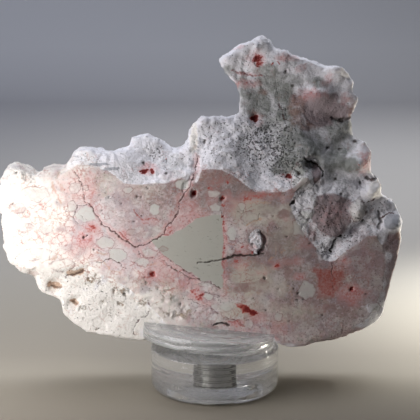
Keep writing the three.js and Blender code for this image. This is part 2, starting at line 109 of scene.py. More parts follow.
# Deep gaps are painted black as shade, and are cut further in.
DEEP_GAPS = [
    (0.2, 0.9, [(-0.3, 0.7), (0.8, 1), (2, 0.95), (3, 0.6)]),
    (0.13, 0.8, [(-3.6, 13.3), (-1.4, 13.6), (0.6, 13.9), (1.9, 14.3)]),
    (0.27, 0.95, [(1.9, 14.3), (3.8, 14.7), (6, 14.95), (7.2, 15.05)]),
    (0.2, 0.9, [(7.2, 15.05), (8.4, 15.1), (9.9, 15.3)]),
    (0.2, 1, [(25.6, 18.8), (24.6, 18.2), (24, 17.4), (23.8, 16.6), (23.3, 15.9), (23.7, 15.2)]),
    (0.24, 0.9, [(18, 34.3), (18.8, 33.7), (20.2, 33.4), (21.2, 32.6), (21.9, 31.6), (21.6, 30.6)]),
    (0.2, 0.35, [(21.4, 30.6), (19.7, 28.8), (17.4, 27.5), (15.8, 26.7)]),
    (0.35, 0.8, [(16, 25.9), (15.3, 25.4)]),
    (0.45, 0.8, [(33, 30.4), (31.9, 30), (31, 30.3)]),
    (0.4, 0.7, [(33.3, 23.4), (33.7, 21.6), (33.1, 20.4)]),
    (0.5, 0.7, [(24.3, 42.2), (25.6, 41.7), (27.6, 42.4)]),
    (0.3, 0.55, [(-33.2, 8.4), (-32, 7.9), (-31.2, 8.2)]),
    (0.25, 0.5, [(-28.9, 5), (-28.1, 4.7)]),
    (0.28, 0.6, [(-29, 10.9), (-27.8, 11.1), (-26.8, 11.7)]),
]
# Seams filled with cinnabar, and veins filled with tan clay, are only coloured.
RED_SEAMS = [
    (0.5, 0.55, [(-25.7, 31.2), (-25.4, 30.3), (-25.2, 29.1), (-24.9, 27.9), (-25, 26.4)]),
    (0.32, 1, [(-19.2, 19.8), (-18.6, 19.1), (-17.6, 18)]),
    (0.3, 0.8, [(-16.2, 24), (-15.4, 22.9), (-14.3, 22.1), (-12.6, 22.4), (-11.1, 22)]),
    (0.3, 0.55, [(-14.6, 21.5), (-13.2, 21.3)]),
    (0.3, 0.8, [(-10.2, 19.3), (-9.2, 19.4), (-8, 20.6)]),
    (0.3, 0.8, [(-15, 10.6), (-13.7, 10.3), (-12.8, 10.9)]),
    (0.3, 0.7, [(1.75, 23), (1.8, 20), (1.7, 16.4), (1.8, 13), (1.65, 8.3)]),
    (0.25, 0.6, [(1.75, 29.4), (1.6, 26.5), (1.8, 23)]),
    (0.3, 0.85, [(3, 1.5), (4.4, 1.2), (5.8, 0.4)]),
    (0.2, 0.7, [(24.6, 11.8), (25.8, 11.3)]),
    (0.25, 0.6, [(-31.5, 15.5), (-30.6, 16.6), (-29.4, 17.6)]),
    (0.25, 0.5, [(-9.4, 12), (-7.6, 10.6), (-6, 9), (-4.6, 7.4)]),
    (0.22, 0.45, [(-13, 13), (-11.4, 12), (-10.4, 10.6)]),
    (0.22, 0.5, [(4.2, 13.6), (6.4, 12.2), (8.2, 11.8)]),
    (0.22, 0.5, [(-29.9, 29.4), (-30.2, 27.4), (-29.4, 25.2)]),
    (0.22, 0.4, [(-22, 14.6), (-20.6, 15.4), (-19.2, 14.4)]),
    (0.4, 0.75, [(3.6, 52), (5, 51.5), (6.2, 51.1), (7.7, 50.9), (9.6, 50.8)]),
]
TAN_VEINS = [
    (0.2, 0.8, [(-32.5, 30), (-32.4, 28.4), (-31.5, 27.5), (-31.4, 26.2), (-30.9, 25.7)]),
    (0.2, 0.8, [(-36.3, 22.6), (-34.9, 22.6), (-33.7, 22.1), (-33, 22.4), (-30.6, 22.5)]),
    (0.18, 0.7, [(-36.2, 22.6), (-35.9, 21.7), (-35.8, 20.1), (-35.5, 18.8)]),
    (0.18, 0.7, [(-32.7, 21.9), (-32.6, 19.7)]),
    (0.18, 0.6, [(-32.8, 25.3), (-32.6, 23.5), (-33.1, 22.2)]),
    (0.16, 0.6, [(-30.5, 29.3), (-30.5, 27.3)]),
    (0.16, 0.6, [(-31.8, 25.1), (-31.5, 24)]),
    (0.2, 0.7, [(-35, 13.4), (-33.7, 14.1), (-31.9, 14.5), (-31.6, 15.4)]),
    (0.2, 0.8, [(-22.4, 13.4), (-21, 12), (-19.2, 11.4)]),
    (0.2, 0.7, [(-24, 15.6), (-23.2, 15.4), (-21.7, 15.2)]),
    (0.25, 0.5, [(-39, 28), (-37.6, 28.7), (-35.8, 29)]),
    (0.2, 0.5, [(-39.6, 18.1), (-36.9, 17.9), (-34.9, 18.6)]),
    (0.3, 0.5, [(-31.2, 31.6), (-31.8, 30.4), (-31, 29.4), (-30.4, 28)]),
    (0.2, 0.5, [(-6.8, 28.2), (-5.8, 27.9), (-5, 28.3)]),
    (0.25, 0.8, [(6.5, 21.2), (7.9, 22), (9.3, 22.4)]),
    (0.25, 0.6, [(5.3, 26), (7, 25.6), (9, 25.9), (11, 25.7)]),
    (0.2, 0.6, [(-14.9, 12.6), (-13, 12.9), (-11.6, 13.4)]),
    (0.18, 0.6, [(13.4, 15.6), (15, 16.4), (17.2, 16.2)]),
    (0.18, 0.6, [(11, 13.8), (12.4, 15.2), (12.2, 17)]),
    (0.18, 0.5, [(6.2, 6.6), (8.4, 7.4), (10.8, 7)]),
    (0.18, 0.5, [(13.6, 9.6), (15.4, 8.2), (15.8, 5.6)]),
    # The last three are wide tan marks in the hollows of the lower left: painted warm shade.
    (0.8, 1, [(-33.6, 8.9), (-32.4, 8.3), (-31.6, 8.4)]),
    (0.6, 1, [(-29.2, 5.4), (-28.2, 4.9)]),
    (0.7, 1, [(-29.4, 11.2), (-28, 11.3), (-26.9, 11.8)]),
]
# An oval mark is its place, its half width, its half height and its strength. Cinnabar grains with a strength
# of 1 have fallen out in part and left a hole.
CINNABAR = [
    (-12.6, 11.1, 0.55, 0.5, 1), (-2.7, 6.8, 0.5, 0.45, 0.8), (-4.3, 7.6, 0.9, 0.7, 0.6),
    (-3.3, 6.2, 0.8, 0.6, 0.6), (-4.2, 27.4, 0.55, 0.75, 1), (1.6, 26.5, 0.5, 0.5, 1),
    (1.6, 25.2, 0.35, 0.5, 0.7), (1.6, 22.9, 0.3, 0.4, 0.9), (1.8, 21.6, 0.3, 0.35, 0.9),
    (1.8, 16.4, 0.3, 0.35, 0.9), (-1.2, 28.7, 0.3, 0.25, 0.7), (1.4, 29.1, 0.25, 0.25, 0.7),
    (2.6, 29.7, 0.25, 0.25, 0.7), (4.2, 13.7, 0.45, 0.4, 0.6), (5.6, 16.6, 0.35, 0.3, 0.7),
    (5.1, 15.6, 0.3, 0.3, 0.7), (7.6, 15.6, 0.3, 0.25, 0.6), (12.6, 12.7, 0.7, 0.4, 0.75),
    (26.2, 13.8, 0.65, 0.5, 0.45), (27.8, 8.1, 0.33, 0.33, 1), (29.2, 33.2, 0.3, 0.3, 0.6),
    (6.4, 26.6, 1.1, 0.6, 0.5), (8.6, 26.9, 1.2, 0.4, 0.45), (11, 27.2, 1.5, 0.35, 0.4),
    (8.1, 42.1, 0.85, 0.85, 1), (8.5, 54.3, 1.1, 0.9, 0.85), (9, 53.2, 0.7, 0.6, 0.7),
    (11.8, 53.3, 0.4, 0.4, 0.8), (12.8, 53.5, 0.35, 0.3, 0.7), (-14.2, 31.9, 0.75, 0.45, 0.95),
    (-12.7, 31.9, 0.5, 0.45, 0.95), (-27.4, 18.3, 0.3, 0.3, 0.7), (-29.4, 28.7, 0.25, 0.25, 0.6),
    (14.9, 30.9, 0.6, 0.5, 1), (13.8, 30.9, 0.3, 0.25, 0.6), (-24.6, 20.6, 0.9, 0.45, 0.6),
    (-9.9, 34.3, 0.3, 0.3, 0.4), (31.9, 29.8, 0.4, 0.4, 0.4),
]
# Some marks are closed outlines: a lens of cinnabar, and further down a salmon block and two plum blocks.
CINNABAR_LENS = [(4, 5.3), (5.2, 5.2), (7, 4.4), (8.4, 3.5), (9, 2.7), (7.8, 2.5), (6.1, 3), (4.7, 4)]
# Pink blush, rust and plum stain the jasper. Dusky parts are darker, and milky ones paler.
BLUSH = [
    (-26.5, 18.3, 2.2, 1.9, 0.85), (-27, 17.8, 4.6, 4.2, 0.5), (-33.4, 18.6, 3.4, 1.9, 0.4),
    (-29, 28.6, 4.2, 3.6, 0.5), (-5.5, 22.2, 4.8, 2.8, 0.6), (-9, 11.5, 7, 2.6, 0.5), (-36.5, 24, 5, 4, 0.35),
    (-20, 13, 4, 2, 0.3), (27.6, 7, 3.2, 2.2, 0.8), (14.2, 22.8, 1.1, 1.3, 0.4), (19.6, 20, 0.9, 1.5, 0.5),
    (-28.8, 29.6, 2.6, 2.6, 0.4), (-30.6, 30, 2, 2.4, 0.35), (-25.2, 28.6, 1.5, 3, 0.6),
    (-24.8, 20.6, 1.8, 1.3, 0.8), (-18.4, 18.9, 1.5, 1.5, 0.7), (-13.2, 21.8, 2.6, 1, 0.5),
    (-9.4, 20, 1.4, 1.8, 0.7), (-6.4, 22.4, 2.6, 2.2, 0.5), (-5.2, 24.8, 2.2, 2.2, 0.55),
    (-12.7, 10.8, 2.2, 1.4, 0.6), (-14.6, 10.5, 1.2, 0.8, 0.5), (-8.8, 11.4, 3, 2, 0.45),
    (-6.6, 10, 2, 2.2, 0.45), (-3.9, 7, 1.8, 1.7, 0.8), (-1.8, 5, 2.2, 1.2, 0.45), (1.9, 18, 0.7, 5.6, 0.75),
    (1.9, 10.5, 0.8, 2.8, 0.6), (2.8, 25.5, 1.6, 2.6, 0.5), (4.4, 1, 2, 0.8, 0.8), (8.6, 2.2, 1.8, 1.2, 0.6),
    (5.6, 15.8, 1.8, 0.9, 0.55), (5, 13, 1.8, 1.1, 0.5), (9, 26.9, 4.6, 1.1, 0.55),
    (5.4, 26.4, 1.6, 1.6, 0.5), (12.6, 12.7, 1.2, 0.8, 0.6), (17, 10.5, 1.4, 0.9, 0.65),
    (16.5, 13.8, 1.8, 1, 0.5), (23.4, 8, 2.2, 1.6, 0.6), (26.8, 7.2, 2.6, 1.8, 0.6), (29, 6, 1.6, 1, 0.4),
    (13, 0.2, 2.6, 2.4, 0.35), (26.2, 13.8, 1.2, 1, 0.65), (8.6, 54.2, 2, 1.7, 0.75),
    (4.8, 56.8, 1.6, 0.6, 0.6), (14.6, 54.6, 2.2, 0.9, 0.7), (-13.4, 32.2, 1.9, 1.1, 0.8),
    (14.2, 30.6, 1.8, 0.9, 0.4), (22.6, 49.6, 1.4, 1, 0.5), (-31.2, 31.2, 2, 1.2, 0.25),
    (30.6, 33.2, 1.5, 2.8, 0.7), (8.3, 42.1, 1.5, 1.5, 0.6), (-0.6, 26.4, 1.4, 2.6, 0.5),
    (-15.4, 20, 3, 2.4, 0.25), (-20.8, 12.8, 2.4, 1, 0.45), (-24, 24.4, 2.4, 0.9, 0.4),
    (-12.6, 12.9, 3.2, 1, 0.3), (-39, 19, 2, 1.4, 0.3), (23, 22, 3, 3, 0.25), (7, 51.2, 2.4, 0.7, 0.5),
    (-12.2, 13.6, 2.4, 1.6, 0.3), (0.4, 29.5, 3.6, 1.2, 0.3), (-1.5, 3, 1.8, 0.8, 0.3),
    (6.6, 16.6, 2.2, 1, 0.6), (14, 13.6, 4.2, 0.8, 0.45), (18.2, 17.6, 2, 1.6, 0.45),
    (9.4, 11.4, 1.6, 0.8, 0.4), (21.8, 4, 2, 1.4, 0.35), (5.4, -0.8, 2.6, 1, 0.5), (10, -2.6, 3.4, 1.2, 0.45),
    (17, -3.6, 3, 1, 0.35), (13.8, 26.4, 2.2, 1, 0.4), (6.5, 49.2, 3, 0.9, 0.7), (19.6, 47.2, 3, 1.2, 0.65),
    (23.3, 50, 1.2, 1.4, 0.6), (24.2, 23.4, 2.6, 2.8, 0.4), (17.4, 52.2, 1.6, 1, 0.5),
    (26.4, 46, 1, 1.6, 0.5),
]
SALMON = [(19.2, 11.9), (20.8, 12.7), (22.8, 12.4), (25.8, 12.2), (26.4, 10.4), (25.2, 8.8), (23.8, 6.4),
          (20.8, 6.2), (20.6, 9.6), (19.8, 11)]
# Rust stains the jasper, but its last mark, in the hollow at the left edge, is painted warm shade.
RUST = [
    (1.4, 30.8, 4.8, 1.8, 0.5), (-2.6, 31, 1.6, 1.6, 0.5), (9.4, 27.4, 4.6, 0.9, 0.8),
    (-24.6, 20.4, 1.2, 1, 0.7), (-25.4, 29, 1.2, 3, 0.35), (37, 18.6, 0.5, 0.7, 0.9),
    (16.6, 44.4, 1.8, 3.4, 0.8), (18.6, 40.6, 1.8, 1, 0.7), (9.8, 47.6, 1.6, 0.7, 0.6),
    (27.6, 44.4, 1, 2.6, 0.6), (-33.6, 22, 3, 2.6, 0.2), (-4, 34, 0.8, 2, 0.4), (7.6, 21.8, 1.8, 0.6, 0.5),
    (-15.6, 27.6, 4.4, 2, 0.3), (-18, 21, 1.8, 1.4, 0.2), (19.6, 19, 3.6, 1.6, 0.3),
    (6.2, 12.4, 2.2, 1.4, 0.3), (-0.8, 22.8, 1.2, 0.5, 0.45), (-37, 11, 1.4, 0.8, 0.6),
]
PLUM = [
    (21, 19.6, 3, 1.6, 0.4), (20.5, 31, 1, 1.9, 0.9), (31, 14, 4.6, 6.6, 0.6), (31.5, 7.5, 3.6, 4, 0.55),
    (26, 4, 6, 3.4, 0.4), (20, 0, 7, 3.4, 0.4), (12, 20, 5, 3, 0.2), (10.2, 23.4, 1.2, 1, 0.5),
    (36.4, 9.6, 2.4, 8.6, 0.8), (35.8, 17, 2, 2.4, 0.8), (27.4, 45.6, 1.6, 3, 0.5), (-15, 26, 7, 4.4, 0.3),
    (-17, 21, 4.6, 3, 0.3),
]
DUSKY = [
    (5, 27, 12, 5.5, 1), (0, 29.5, 7, 4, 0.9), (-8, 27, 6, 4.5, 0.75), (-10, 22, 5, 3.5, 0.5),
    (13, 16, 8, 7, 0.95), (6, 12, 6, 4.6, 0.9), (20, 15, 5, 5, 0.7), (20, 7, 8, 6, 0.75),
    (7, 3.5, 6, 3.5, 0.4), (27, 6, 5, 6, 0.6),
]
MILKY = [
    (-24, 21, 7, 8, 0.6), (-19, 14, 8, 5, 0.7), (-12, 13, 5, 3, 0.5), (-16, 22, 7, 4, 0.35),
    (-19, 29, 5, 3, 0.4),
]
# Parts of the rough skin that are worn smoother.
EASED_SKIN = [
    (22, 46, 6.5, 6, 1), (23, 38, 6, 3.6, 1), (27.5, 33, 6.5, 3.8, 1), (31, 27, 3.4, 3.4, 0.8),
    (9, 46, 3.6, 3.4, 0.9), (14, 52, 6, 3, 0.8), (13.2, 47.6, 3.4, 4, 1), (36, 21.4, 2.2, 2, 1),
    (-27, 34, 4, 3, 0.6), (-17, 33, 4.6, 2.6, 0.8), (36.6, 10, 2.4, 8.6, 1),
]
# Angular scraps of pale opal, and the largest one, which is plain.
PALE_OPAL = [
    (-26, 23.3, 1.9, 1.6, 1), (-12, 24.2, 1, 1.4, 1), (-19.4, 14.9, 1.9, 1.4, 0.9),
    (-22.1, 17.6, 1.9, 1.1, 0.8), (-16.8, 19.7, 1.2, 0.7, 0.4), (-6.4, 29.3, 1.35, 1.05, 1),
    (-0.2, 27.5, 1.2, 0.7, 0.8), (0.2, 24.6, 1.1, 0.9, 0.9), (3.4, 19.5, 1.15, 1.5, 1),
    (3.5, 15.6, 0.9, 0.55, 0.7), (-1.3, 6.4, 0.95, 0.7, 0.9), (0, 4.4, 0.65, 0.6, 0.8),
    (2.4, 4.6, 1.2, 1, 0.8), (6.9, 0.9, 1, 0.9, 0.8), (18.6, 7.7, 1.5, 1.9, 0.95),
    (12.8, 2.3, 0.95, 0.9, 0.9), (18.5, 23.2, 1.15, 1.4, 0.9), (17.2, 20.9, 1.5, 2, 0.9),
    (-28, 28.6, 1.05, 1.3, 0.6), (-36, 27.5, 2.7, 1.6, 0.7), (20.2, 26, 0.85, 1.35, 0.7),
    (21.8, 24.6, 0.6, 0.65, 0.5), (28.8, 23.9, 1.6, 2.6, 0.6), (16.9, 30.4, 1.9, 2.6, 0.7),
    (7, 22.6, 2, 1.4, 0.6), (14, 23.4, 1.6, 1, 0.35), (12.2, 16.4, 1.6, 1.3, 0.45),
    (14.8, 11.2, 1.2, 1.5, 0.4), (-17.4, 28.2, 1.1, 0.8, 0.6), (-18.2, 31, 0.8, 0.5, 0.4),
    (-39.6, 24.6, 1.6, 1.2, 0.4), (-38.4, 20.6, 1.8, 1, 0.4), (5.4, 8.4, 2, 1.2, 0.35),
    (9, 8.6, 2.4, 1.6, 0.3), (10.4, 24.2, 2.2, 1.2, 0.4), (-10.4, 16.4, 1, 0.5, 0.4),
    (-31, 12.9, 2.6, 1.4, 0.5), (-35.8, 15.2, 3, 1.3, 0.5), (2.2, 1.9, 1, 0.4, 0.3),
    (-34, 20.3, 1.2, 0.9, 0.7), (-28.7, 24.9, 1, 1.1, 0.6), (-25.8, 28.7, 0.7, 0.7, 0.5),
    (-13.1, 15.4, 1.5, 0.8, 0.6), (-14.6, 13.6, 1.5, 0.9, 0.7), (-2.2, 8.9, 1.5, 0.5, 0.5),
    (5.5, 24.9, 0.75, 0.8, 0.8), (-15.2, 19.2, 1, 0.6, 0.3), (23.6, 4, 1.2, 0.9, 0.35),
    (32.6, 4.2, 1.5, 1, 0.75),
]
PLAIN_OPAL = [(-12.8, 17.9), (-8.5, 19.3), (-6.5, 20.4), (-5.1, 21.2), (-3.9, 22.3), (-2.5, 22.9),
              (1.6, 23.1), (1.6, 8.2), (0, 8.9), (-1.2, 9.6), (-3, 9.8), (-4.6, 11.4), (-7.2, 12.8),
              (-10.9, 15.5)]
# Pin holes are their place and their radius. The pitted parts are wormed with shallow pits.
PIN_HOLES = [
    (-15.7, 27, 0.3), (-14.9, 26.6, 0.25), (-16.3, 21.8, 0.22), (-23, 27.1, 0.2), (-21.2, 26.7, 0.18),
    (-22.8, 24.2, 0.18), (-18.8, 25.4, 0.2), (-13.6, 28.6, 0.25), (17.8, 6, 0.35), (16.8, 5.9, 0.3),
    (17, 7.2, 0.22), (15.8, 8.2, 0.22), (10, 10.4, 0.28), (10.4, 3.6, 0.25), (12.8, 8.1, 0.22),
    (30.7, 7.1, 0.25), (-39.8, 31.5, 0.25), (-40.7, 25.5, 0.22), (7.4, 17.2, 0.35), (23.3, 23.1, 0.2),
    (24.2, 22.3, 0.2), (30, 21.8, 0.4), (30.6, 23.6, 0.35), (24.5, 30, 0.35), (29.5, 29.2, 0.4),
    (25.6, 27.2, 0.3), (16.3, 37.4, 0.3), (23, 36.2, 0.35), (25.5, 36, 0.3), (15.9, 48.8, 0.3),
    (-14.3, 33.3, 0.35), (-2, 37.6, 0.4), (14.5, 51.7, 0.35), (16.8, 31.5, 0.45), (15.7, 25.7, 0.4),
    (11.8, 22.9, 0.22), (-24.4, 16, 0.2), (1.7, 22.9, 0.25), (-14.2, 10.4, 0.25), (-13.8, 9.4, 0.22),
    (19, 17.4, 0.2), (14.6, 18.8, 0.2), (21.8, 2.6, 0.22), (8, 6.2, 0.2), (15, 1.2, 0.22), (25.8, 41.8, 0.5),
    (-7, 4.9, 0.4), (-26.4, 18.5, 0.3), (-25.6, 19, 0.22), (-9.6, 31.3, 0.4), (28.6, 37.6, 0.4),
    (-18.4, 6.9, 0.3),
]
PITTED = [
    (-24.6, 9.6, 1.8, 1.4, 1), (-18.3, 7.4, 2.3, 1.3, 0.9), (-18.9, 4.9, 1.2, 0.9, 1),
    (-14, 5.3, 2.4, 0.9, 0.9), (-22.7, 5.4, 0.8, 0.8, 0.8), (-23.4, 0, 1.3, 0.9, 0.7),
    (-20.8, 2.7, 1.6, 1, 0.7), (-7.3, 3, 5.5, 1.2, 0.9), (-14.2, -1.5, 1.4, 0.8, 0.7),
    (-26.8, 4, 1.6, 0.7, 0.9), (-9.6, 6.6, 1.8, 1.4, 0.8), (-12, 8, 1.6, 0.8, 0.6),
]
# Tints of the rough skin: black pores, which are painted shade in its small pits, cream, grey-green moss and
# glassy grey. Then the parts with most veins, the beige parts, rims without chalk, and spots of chalk on the
# face.
PEPPER = [
    (9.5, 37.4, 6, 4.4, 1), (14, 35, 4.6, 4.4, 1), (1.5, 37, 5, 3.2, 0.55), (4, 41, 6, 1.4, 0.35),
    (12, 39.5, 5, 2.6, 0.9), (-11.9, 35.2, 1.5, 1.8, 1), (-9, 33.5, 3.4, 2.2, 0.4), (-3, 38, 3, 4, 0.3),
    (13.8, 43.8, 1.3, 2.2, 0.9), (10, 33, 6, 3, 0.6), (28, 27.6, 3.4, 2.4, 0.25), (33, 25, 3, 1.6, 0.5),
    (27.6, 17.8, 3.4, 1.6, 0.5), (22.6, 15.6, 1.6, 1.6, 0.6), (15, 31.5, 3, 2.4, 0.8),
    (30, 21.6, 2.4, 1.6, 0.4), (22.5, 23, 3, 4, 0.35), (-27.4, 34.6, 2.4, 1, 0.5),
]
CREAM = [
    (-39, 22, 10, 14, 1), (-33, 8, 12, 8, 1), (-22, 2, 12, 8.6, 0.95), (-12, 2.6, 7, 5.6, 0.6),
    (-29, 31, 6, 7, 0.5), (37.8, 12, 0.9, 8, 0.7), (-4.2, 38, 0.9, 3.6, 0.8), (28.8, 23.9, 1.6, 2.6, 0.6),
    (33, 28, 2, 2, 0.6),
]
# Moss is a grey-green tint of the skin; on the ledge below the tower it also darkens parts that lie in shade,
# and there it is partly painted shade.
MOSS = [
    (9.3, 45.2, 3.6, 3.6, 0.9), (15, 49.6, 4.4, 1.4, 0.6), (25.2, 39.6, 3.4, 3.4, 0.85),
    (10.4, 52, 2.6, 1.6, 0.8), (2.6, 52, 1.4, 1.4, 0.7), (5.7, 48, 1.8, 3, 0.75), (21.2, 49.4, 2.2, 1.2, 0.9),
    (14.2, 46.8, 2.8, 2.6, 1), (14.2, 43.2, 2.6, 2.2, 0.95), (15.4, 33.2, 4.4, 2.4, 1),
    (27.4, 33, 2.6, 1.8, 1), (30.6, 34.4, 1.4, 1.2, 0.6), (-8, 5.5, 1.1, 1.5, 0.5), (-26.6, 4, 1.4, 0.6, 0.4),
    (22, 37, 3.6, 1.6, 0.6), (14, 41, 4, 1.8, 0.5), (25, 30.6, 2.6, 1.6, 0.45), (16.6, 32.6, 1.8, 1.4, 0.6),
    (31.6, 21.6, 1.6, 1.4, 0.3), (24, 34, 4, 2.6, 0.9), (27.8, 33.4, 2.4, 2, 0.6),
    (11.4, 49.6, 3.2, 2.8, 0.9), (15.4, 37.5, 2.8, 4.6, 0.9), (18.4, 36.6, 4.6, 2.6, 0.9),
    (-8, 33.6, 2.6, 2, 0.4), (11, 48.4, 4.4, 2, 0.5), (13, 37.6, 3, 2, 0.55), (12, 43, 3.4, 3.6, 0.7),
    (17.6, 29.8, 2, 1.8, 0.5), (27, 37.4, 3, 2, 0.5),
]
GLASSY = [(-23.2, 33.3, 2.3, 0.3, 0.6), (-20.8, 32.4, 1.9, 0.35, 0.62), (35.9, 21.6, 1.9, 1.6, 0.7)]
VEINED = [
    (-27, 20, 6, 8, 1), (-36, 22, 7, 9, 0.5), (-12, 12, 9, 4, 1), (4, 11, 5, 7, 0.8), (-26, 29, 4, 5, 0.9),
    (-4, 25, 5, 5, 0.7), (7, 22, 5, 6, 0.6), (26, 10, 5, 4, 0.7), (4, 2, 5, 3, 0.7), (10, 27, 6, 2, 0.8),
    (2, 30.5, 5, 2.4, 0.8),
]
BEIGE = [
    (8.5, 23.6, 5, 2.6, 0.9), (14.5, 24, 3.6, 2.4, 0.6), (7.5, 9.4, 4.6, 3.4, 0.8), (3.6, 3.6, 3, 1.8, 0.7),
    (-16, 28.6, 6, 2.6, 0.35), (-20, 31, 4, 2, 0.3), (13, 18, 4, 3, 0.4), (10, 4.6, 4, 2, 0.5),
    (-12.6, 19.6, 4, 1.6, 0.4), (16, 3, 5, 2.4, 0.5), (11.4, 8.6, 4, 3, 0.5), (14.6, 20.6, 3, 2.4, 0.6),
    (8.6, 6, 2.4, 2, 0.5), (18.6, 0.6, 3, 1.6, 0.4),
]
BARE_RIM = [
    (-36, 31.6, 9, 4.4, 1), (-41.5, 28, 3, 5, 1), (36.8, 9.6, 2.4, 8.4, 1), (26, -2, 12, 3.2, 1),
    (35.8, 16.8, 2, 2.6, 1), (-3.8, 33.4, 1.8, 2.8, 0.6), (-9, 31, 5.6, 1.5, 0.65),
]
CHALKY = [(32.2, 4.2, 1.9, 1.1, 0.9), (22, 16.2, 1.2, 2.2, 0.8), (20.4, 19.4, 0.8, 1.2, 0.5)]
# Ledges of the skin that are brought nearer to the face than the solid has them.
SHALLOW = [
    (-29, 10.9, 3.6, 1.9, 0.55), (-18.4, 32.4, 4.4, 3, 0.55), (20, 33.4, 2.4, 2.2, 0.2),
    (24.4, 17, 2.6, 3, 0.45), (34.6, 18.4, 2, 2.2, 0.6), (36.6, 10, 3, 9, 0.65), (24, -2, 13, 4, 0.6),
]
PLUM_BLOCK = [(20.4, 26.8), (22, 27.6), (24, 27), (26, 26.8), (27.2, 25.8), (27.4, 21.5), (26, 19.2),
              (24.5, 18.2), (22.4, 19), (20.6, 20.6), (19.4, 22.4), (19.8, 24.8)]
TOWER_BLOCK = [(15.8, 46.4), (18.4, 47.4), (24.7, 47.4), (25.6, 46.3), (28, 44), (27.2, 42.4), (22.7, 40.9),
               (21.3, 39.7), (18.4, 40.3), (17.6, 43.4), (16.4, 45.1)]
# A gas bubble in the face: its place, half width and half height.
GAS_BUBBLE = (8.65, 17.7, 1.85, 2.55)
# A hollow in the skin that crust fills up to a depth in mm.
FILLED_HOLLOW = (20, 32.4, 2.6, 3.4, 1)
HOLLOW_DEPTH = 3.7
# White lumps that stand out of the rough skin.
WHITE_LUMPS = [
    (36.1, 21.4, 1.9, 1.5, 0.7), (31.8, 27.6, 1.8, 1.9, 0.5), (28.6, 33, 2.2, 2.2, 0.4),
    (24, 33.6, 2.4, 1.6, 0.3), (28.9, 23.6, 1.4, 2.2, 0.4), (24.2, 29.4, 1.8, 1, 0.3),
    (21.6, 47.6, 2.4, 1.6, 0.4), (8.8, 57.4, 1.6, 1.4, 0.3), (24.6, 51.6, 2.6, 1.4, 0.4),
    (3.2, 54.4, 1.6, 1.2, 0.3), (-14.4, 36.6, 1.8, 1.4, 0.4), (26.2, 39.6, 1.8, 1.6, 0.3),
    (16.4, 35.4, 1.4, 0.9, 0.4),
]


def gauge(sizes, value):
    """Soft step from 0 to 1 between two sizes."""
    low, high = sizes
    t = np.clip((value - low) / (high - low), 0, 1)
    return t * t * (3 - 2 * t)


def grain(points, size, seed):
    """Lumps of about that size in mm, from -1 to 1. Each seed gives other lumps."""
    shift = Vector((17.3, 5.1, 9.7)) * seed
    return np.array([noise.noise(Vector(p) / size + shift) for p in points]) * 1.5


def wander(points, size, seed, reach):
    """A shift across and up of about that reach in mm, in lumps of that size."""
    return np.stack([grain(points, size, seed), grain(points, size, seed + 1)], axis=1) * reach


def line_gap(places, line):
    """Distance in mm to a line of points."""
    nearest = np.full(len(places), np.inf)
    for start, end in zip(line, line[1:]):
        start = np.array(start)
        run = np.array(end) - start
        share = np.clip((places - start) @ run / (run @ run), 0, 1)
        nearest = np.minimum(nearest, np.linalg.norm(places - start - share[:, None] * run, axis=1))
    return nearest


def patch_depth(places, outline):
    """Distance in mm inside a closed outline, negative outside it."""
    inside = np.zeros(len(places), bool)
    u, v = places[:, 0], places[:, 1]
    for (au, av), (bu, bv) in zip(outline, outline[1:] + outline[:1]):
        if av != bv:
            inside ^= ((av > v) != (bv > v)) & (u < (bu - au) * (v - av) / (bv - av) + au)
    return np.where(inside, 1, -1) * line_gap(places, outline + outline[:1])


def stains(places, ovals, edge, wobble):
    """Strength of the strongest oval mark at each place, with a soft edge that the wobble frays."""
    total = np.zeros(len(places))
    for u, v, across, up, strength in ovals:
        away = np.hypot((places[:, 0] - u) / across, (places[:, 1] - v) / up) + wobble
        total = np.maximum(total, strength * (1 - gauge((1 - edge, 1 + edge), away)))
    return total


def shards(places, ovals, edge, wobble):
    """As stains, with each oval cut to an angular scrap with five to seven corners."""
    total = np.zeros(len(places))
    for u, v, across, up, strength in ovals:
        turn = 7 * u + 3 * v
        sides = 5 + int(abs(turn)) % 3
        du = (places[:, 0] - u) / across
        dv = (places[:, 1] - v) / up
        angles = [turn + k * math.tau / sides for k in range(sides)]
        away = 1.1 * np.max([du * math.cos(a) + dv * math.sin(a) for a in angles], axis=0) + wobble
        total = np.maximum(total, strength * (1 - gauge((1 - edge, 1 + edge), away)))
    return total


def seams(places, lines, wobble):
    """Strength of the strongest thin line at each place. The wobble makes it thicker and thinner."""
    reach = 1.5
    total = np.zeros(len(places))
    for half, strength, line in lines:
        low = np.min(line, axis=0) - reach
        high = np.max(line, axis=0) + reach
        near = np.all((places > low) & (places < high), axis=1)
        away = line_gap(places[near], line)
        width = np.maximum(half * (1 + 0.6 * wobble[near]), 0.3 * half)
        total[near] = np.maximum(total[near], strength * (1 - gauge((0.45, 1.15), away / width)))
    return total


def select_only(mesh, kind, chosen):
    """Selects the chosen vertices, edges or polygons of a mesh and nothing else, for edit mode."""
    kinds = ("vertices", "edges", "polygons")
    for each in kinds:
        items = getattr(mesh, each)
        items.foreach_set("select", chosen if each == kind else np.zeros(len(items), bool))
    bpy.context.tool_settings.mesh_select_mode = [each == kind for each in kinds]


def edit(tool, **settings):
    """Uses one tool in edit mode on what is selected."""
    bpy.ops.object.mode_set(mode="EDIT")
    tool(**settings)
    bpy.ops.object.mode_set(mode="OBJECT")


def columns(items, name):
    """A three-part value of every vertex or face, one row for each."""
    values = np.zeros(len(items) * 3)
    items.foreach_get(name, values)
    return values.reshape(-1, 3)


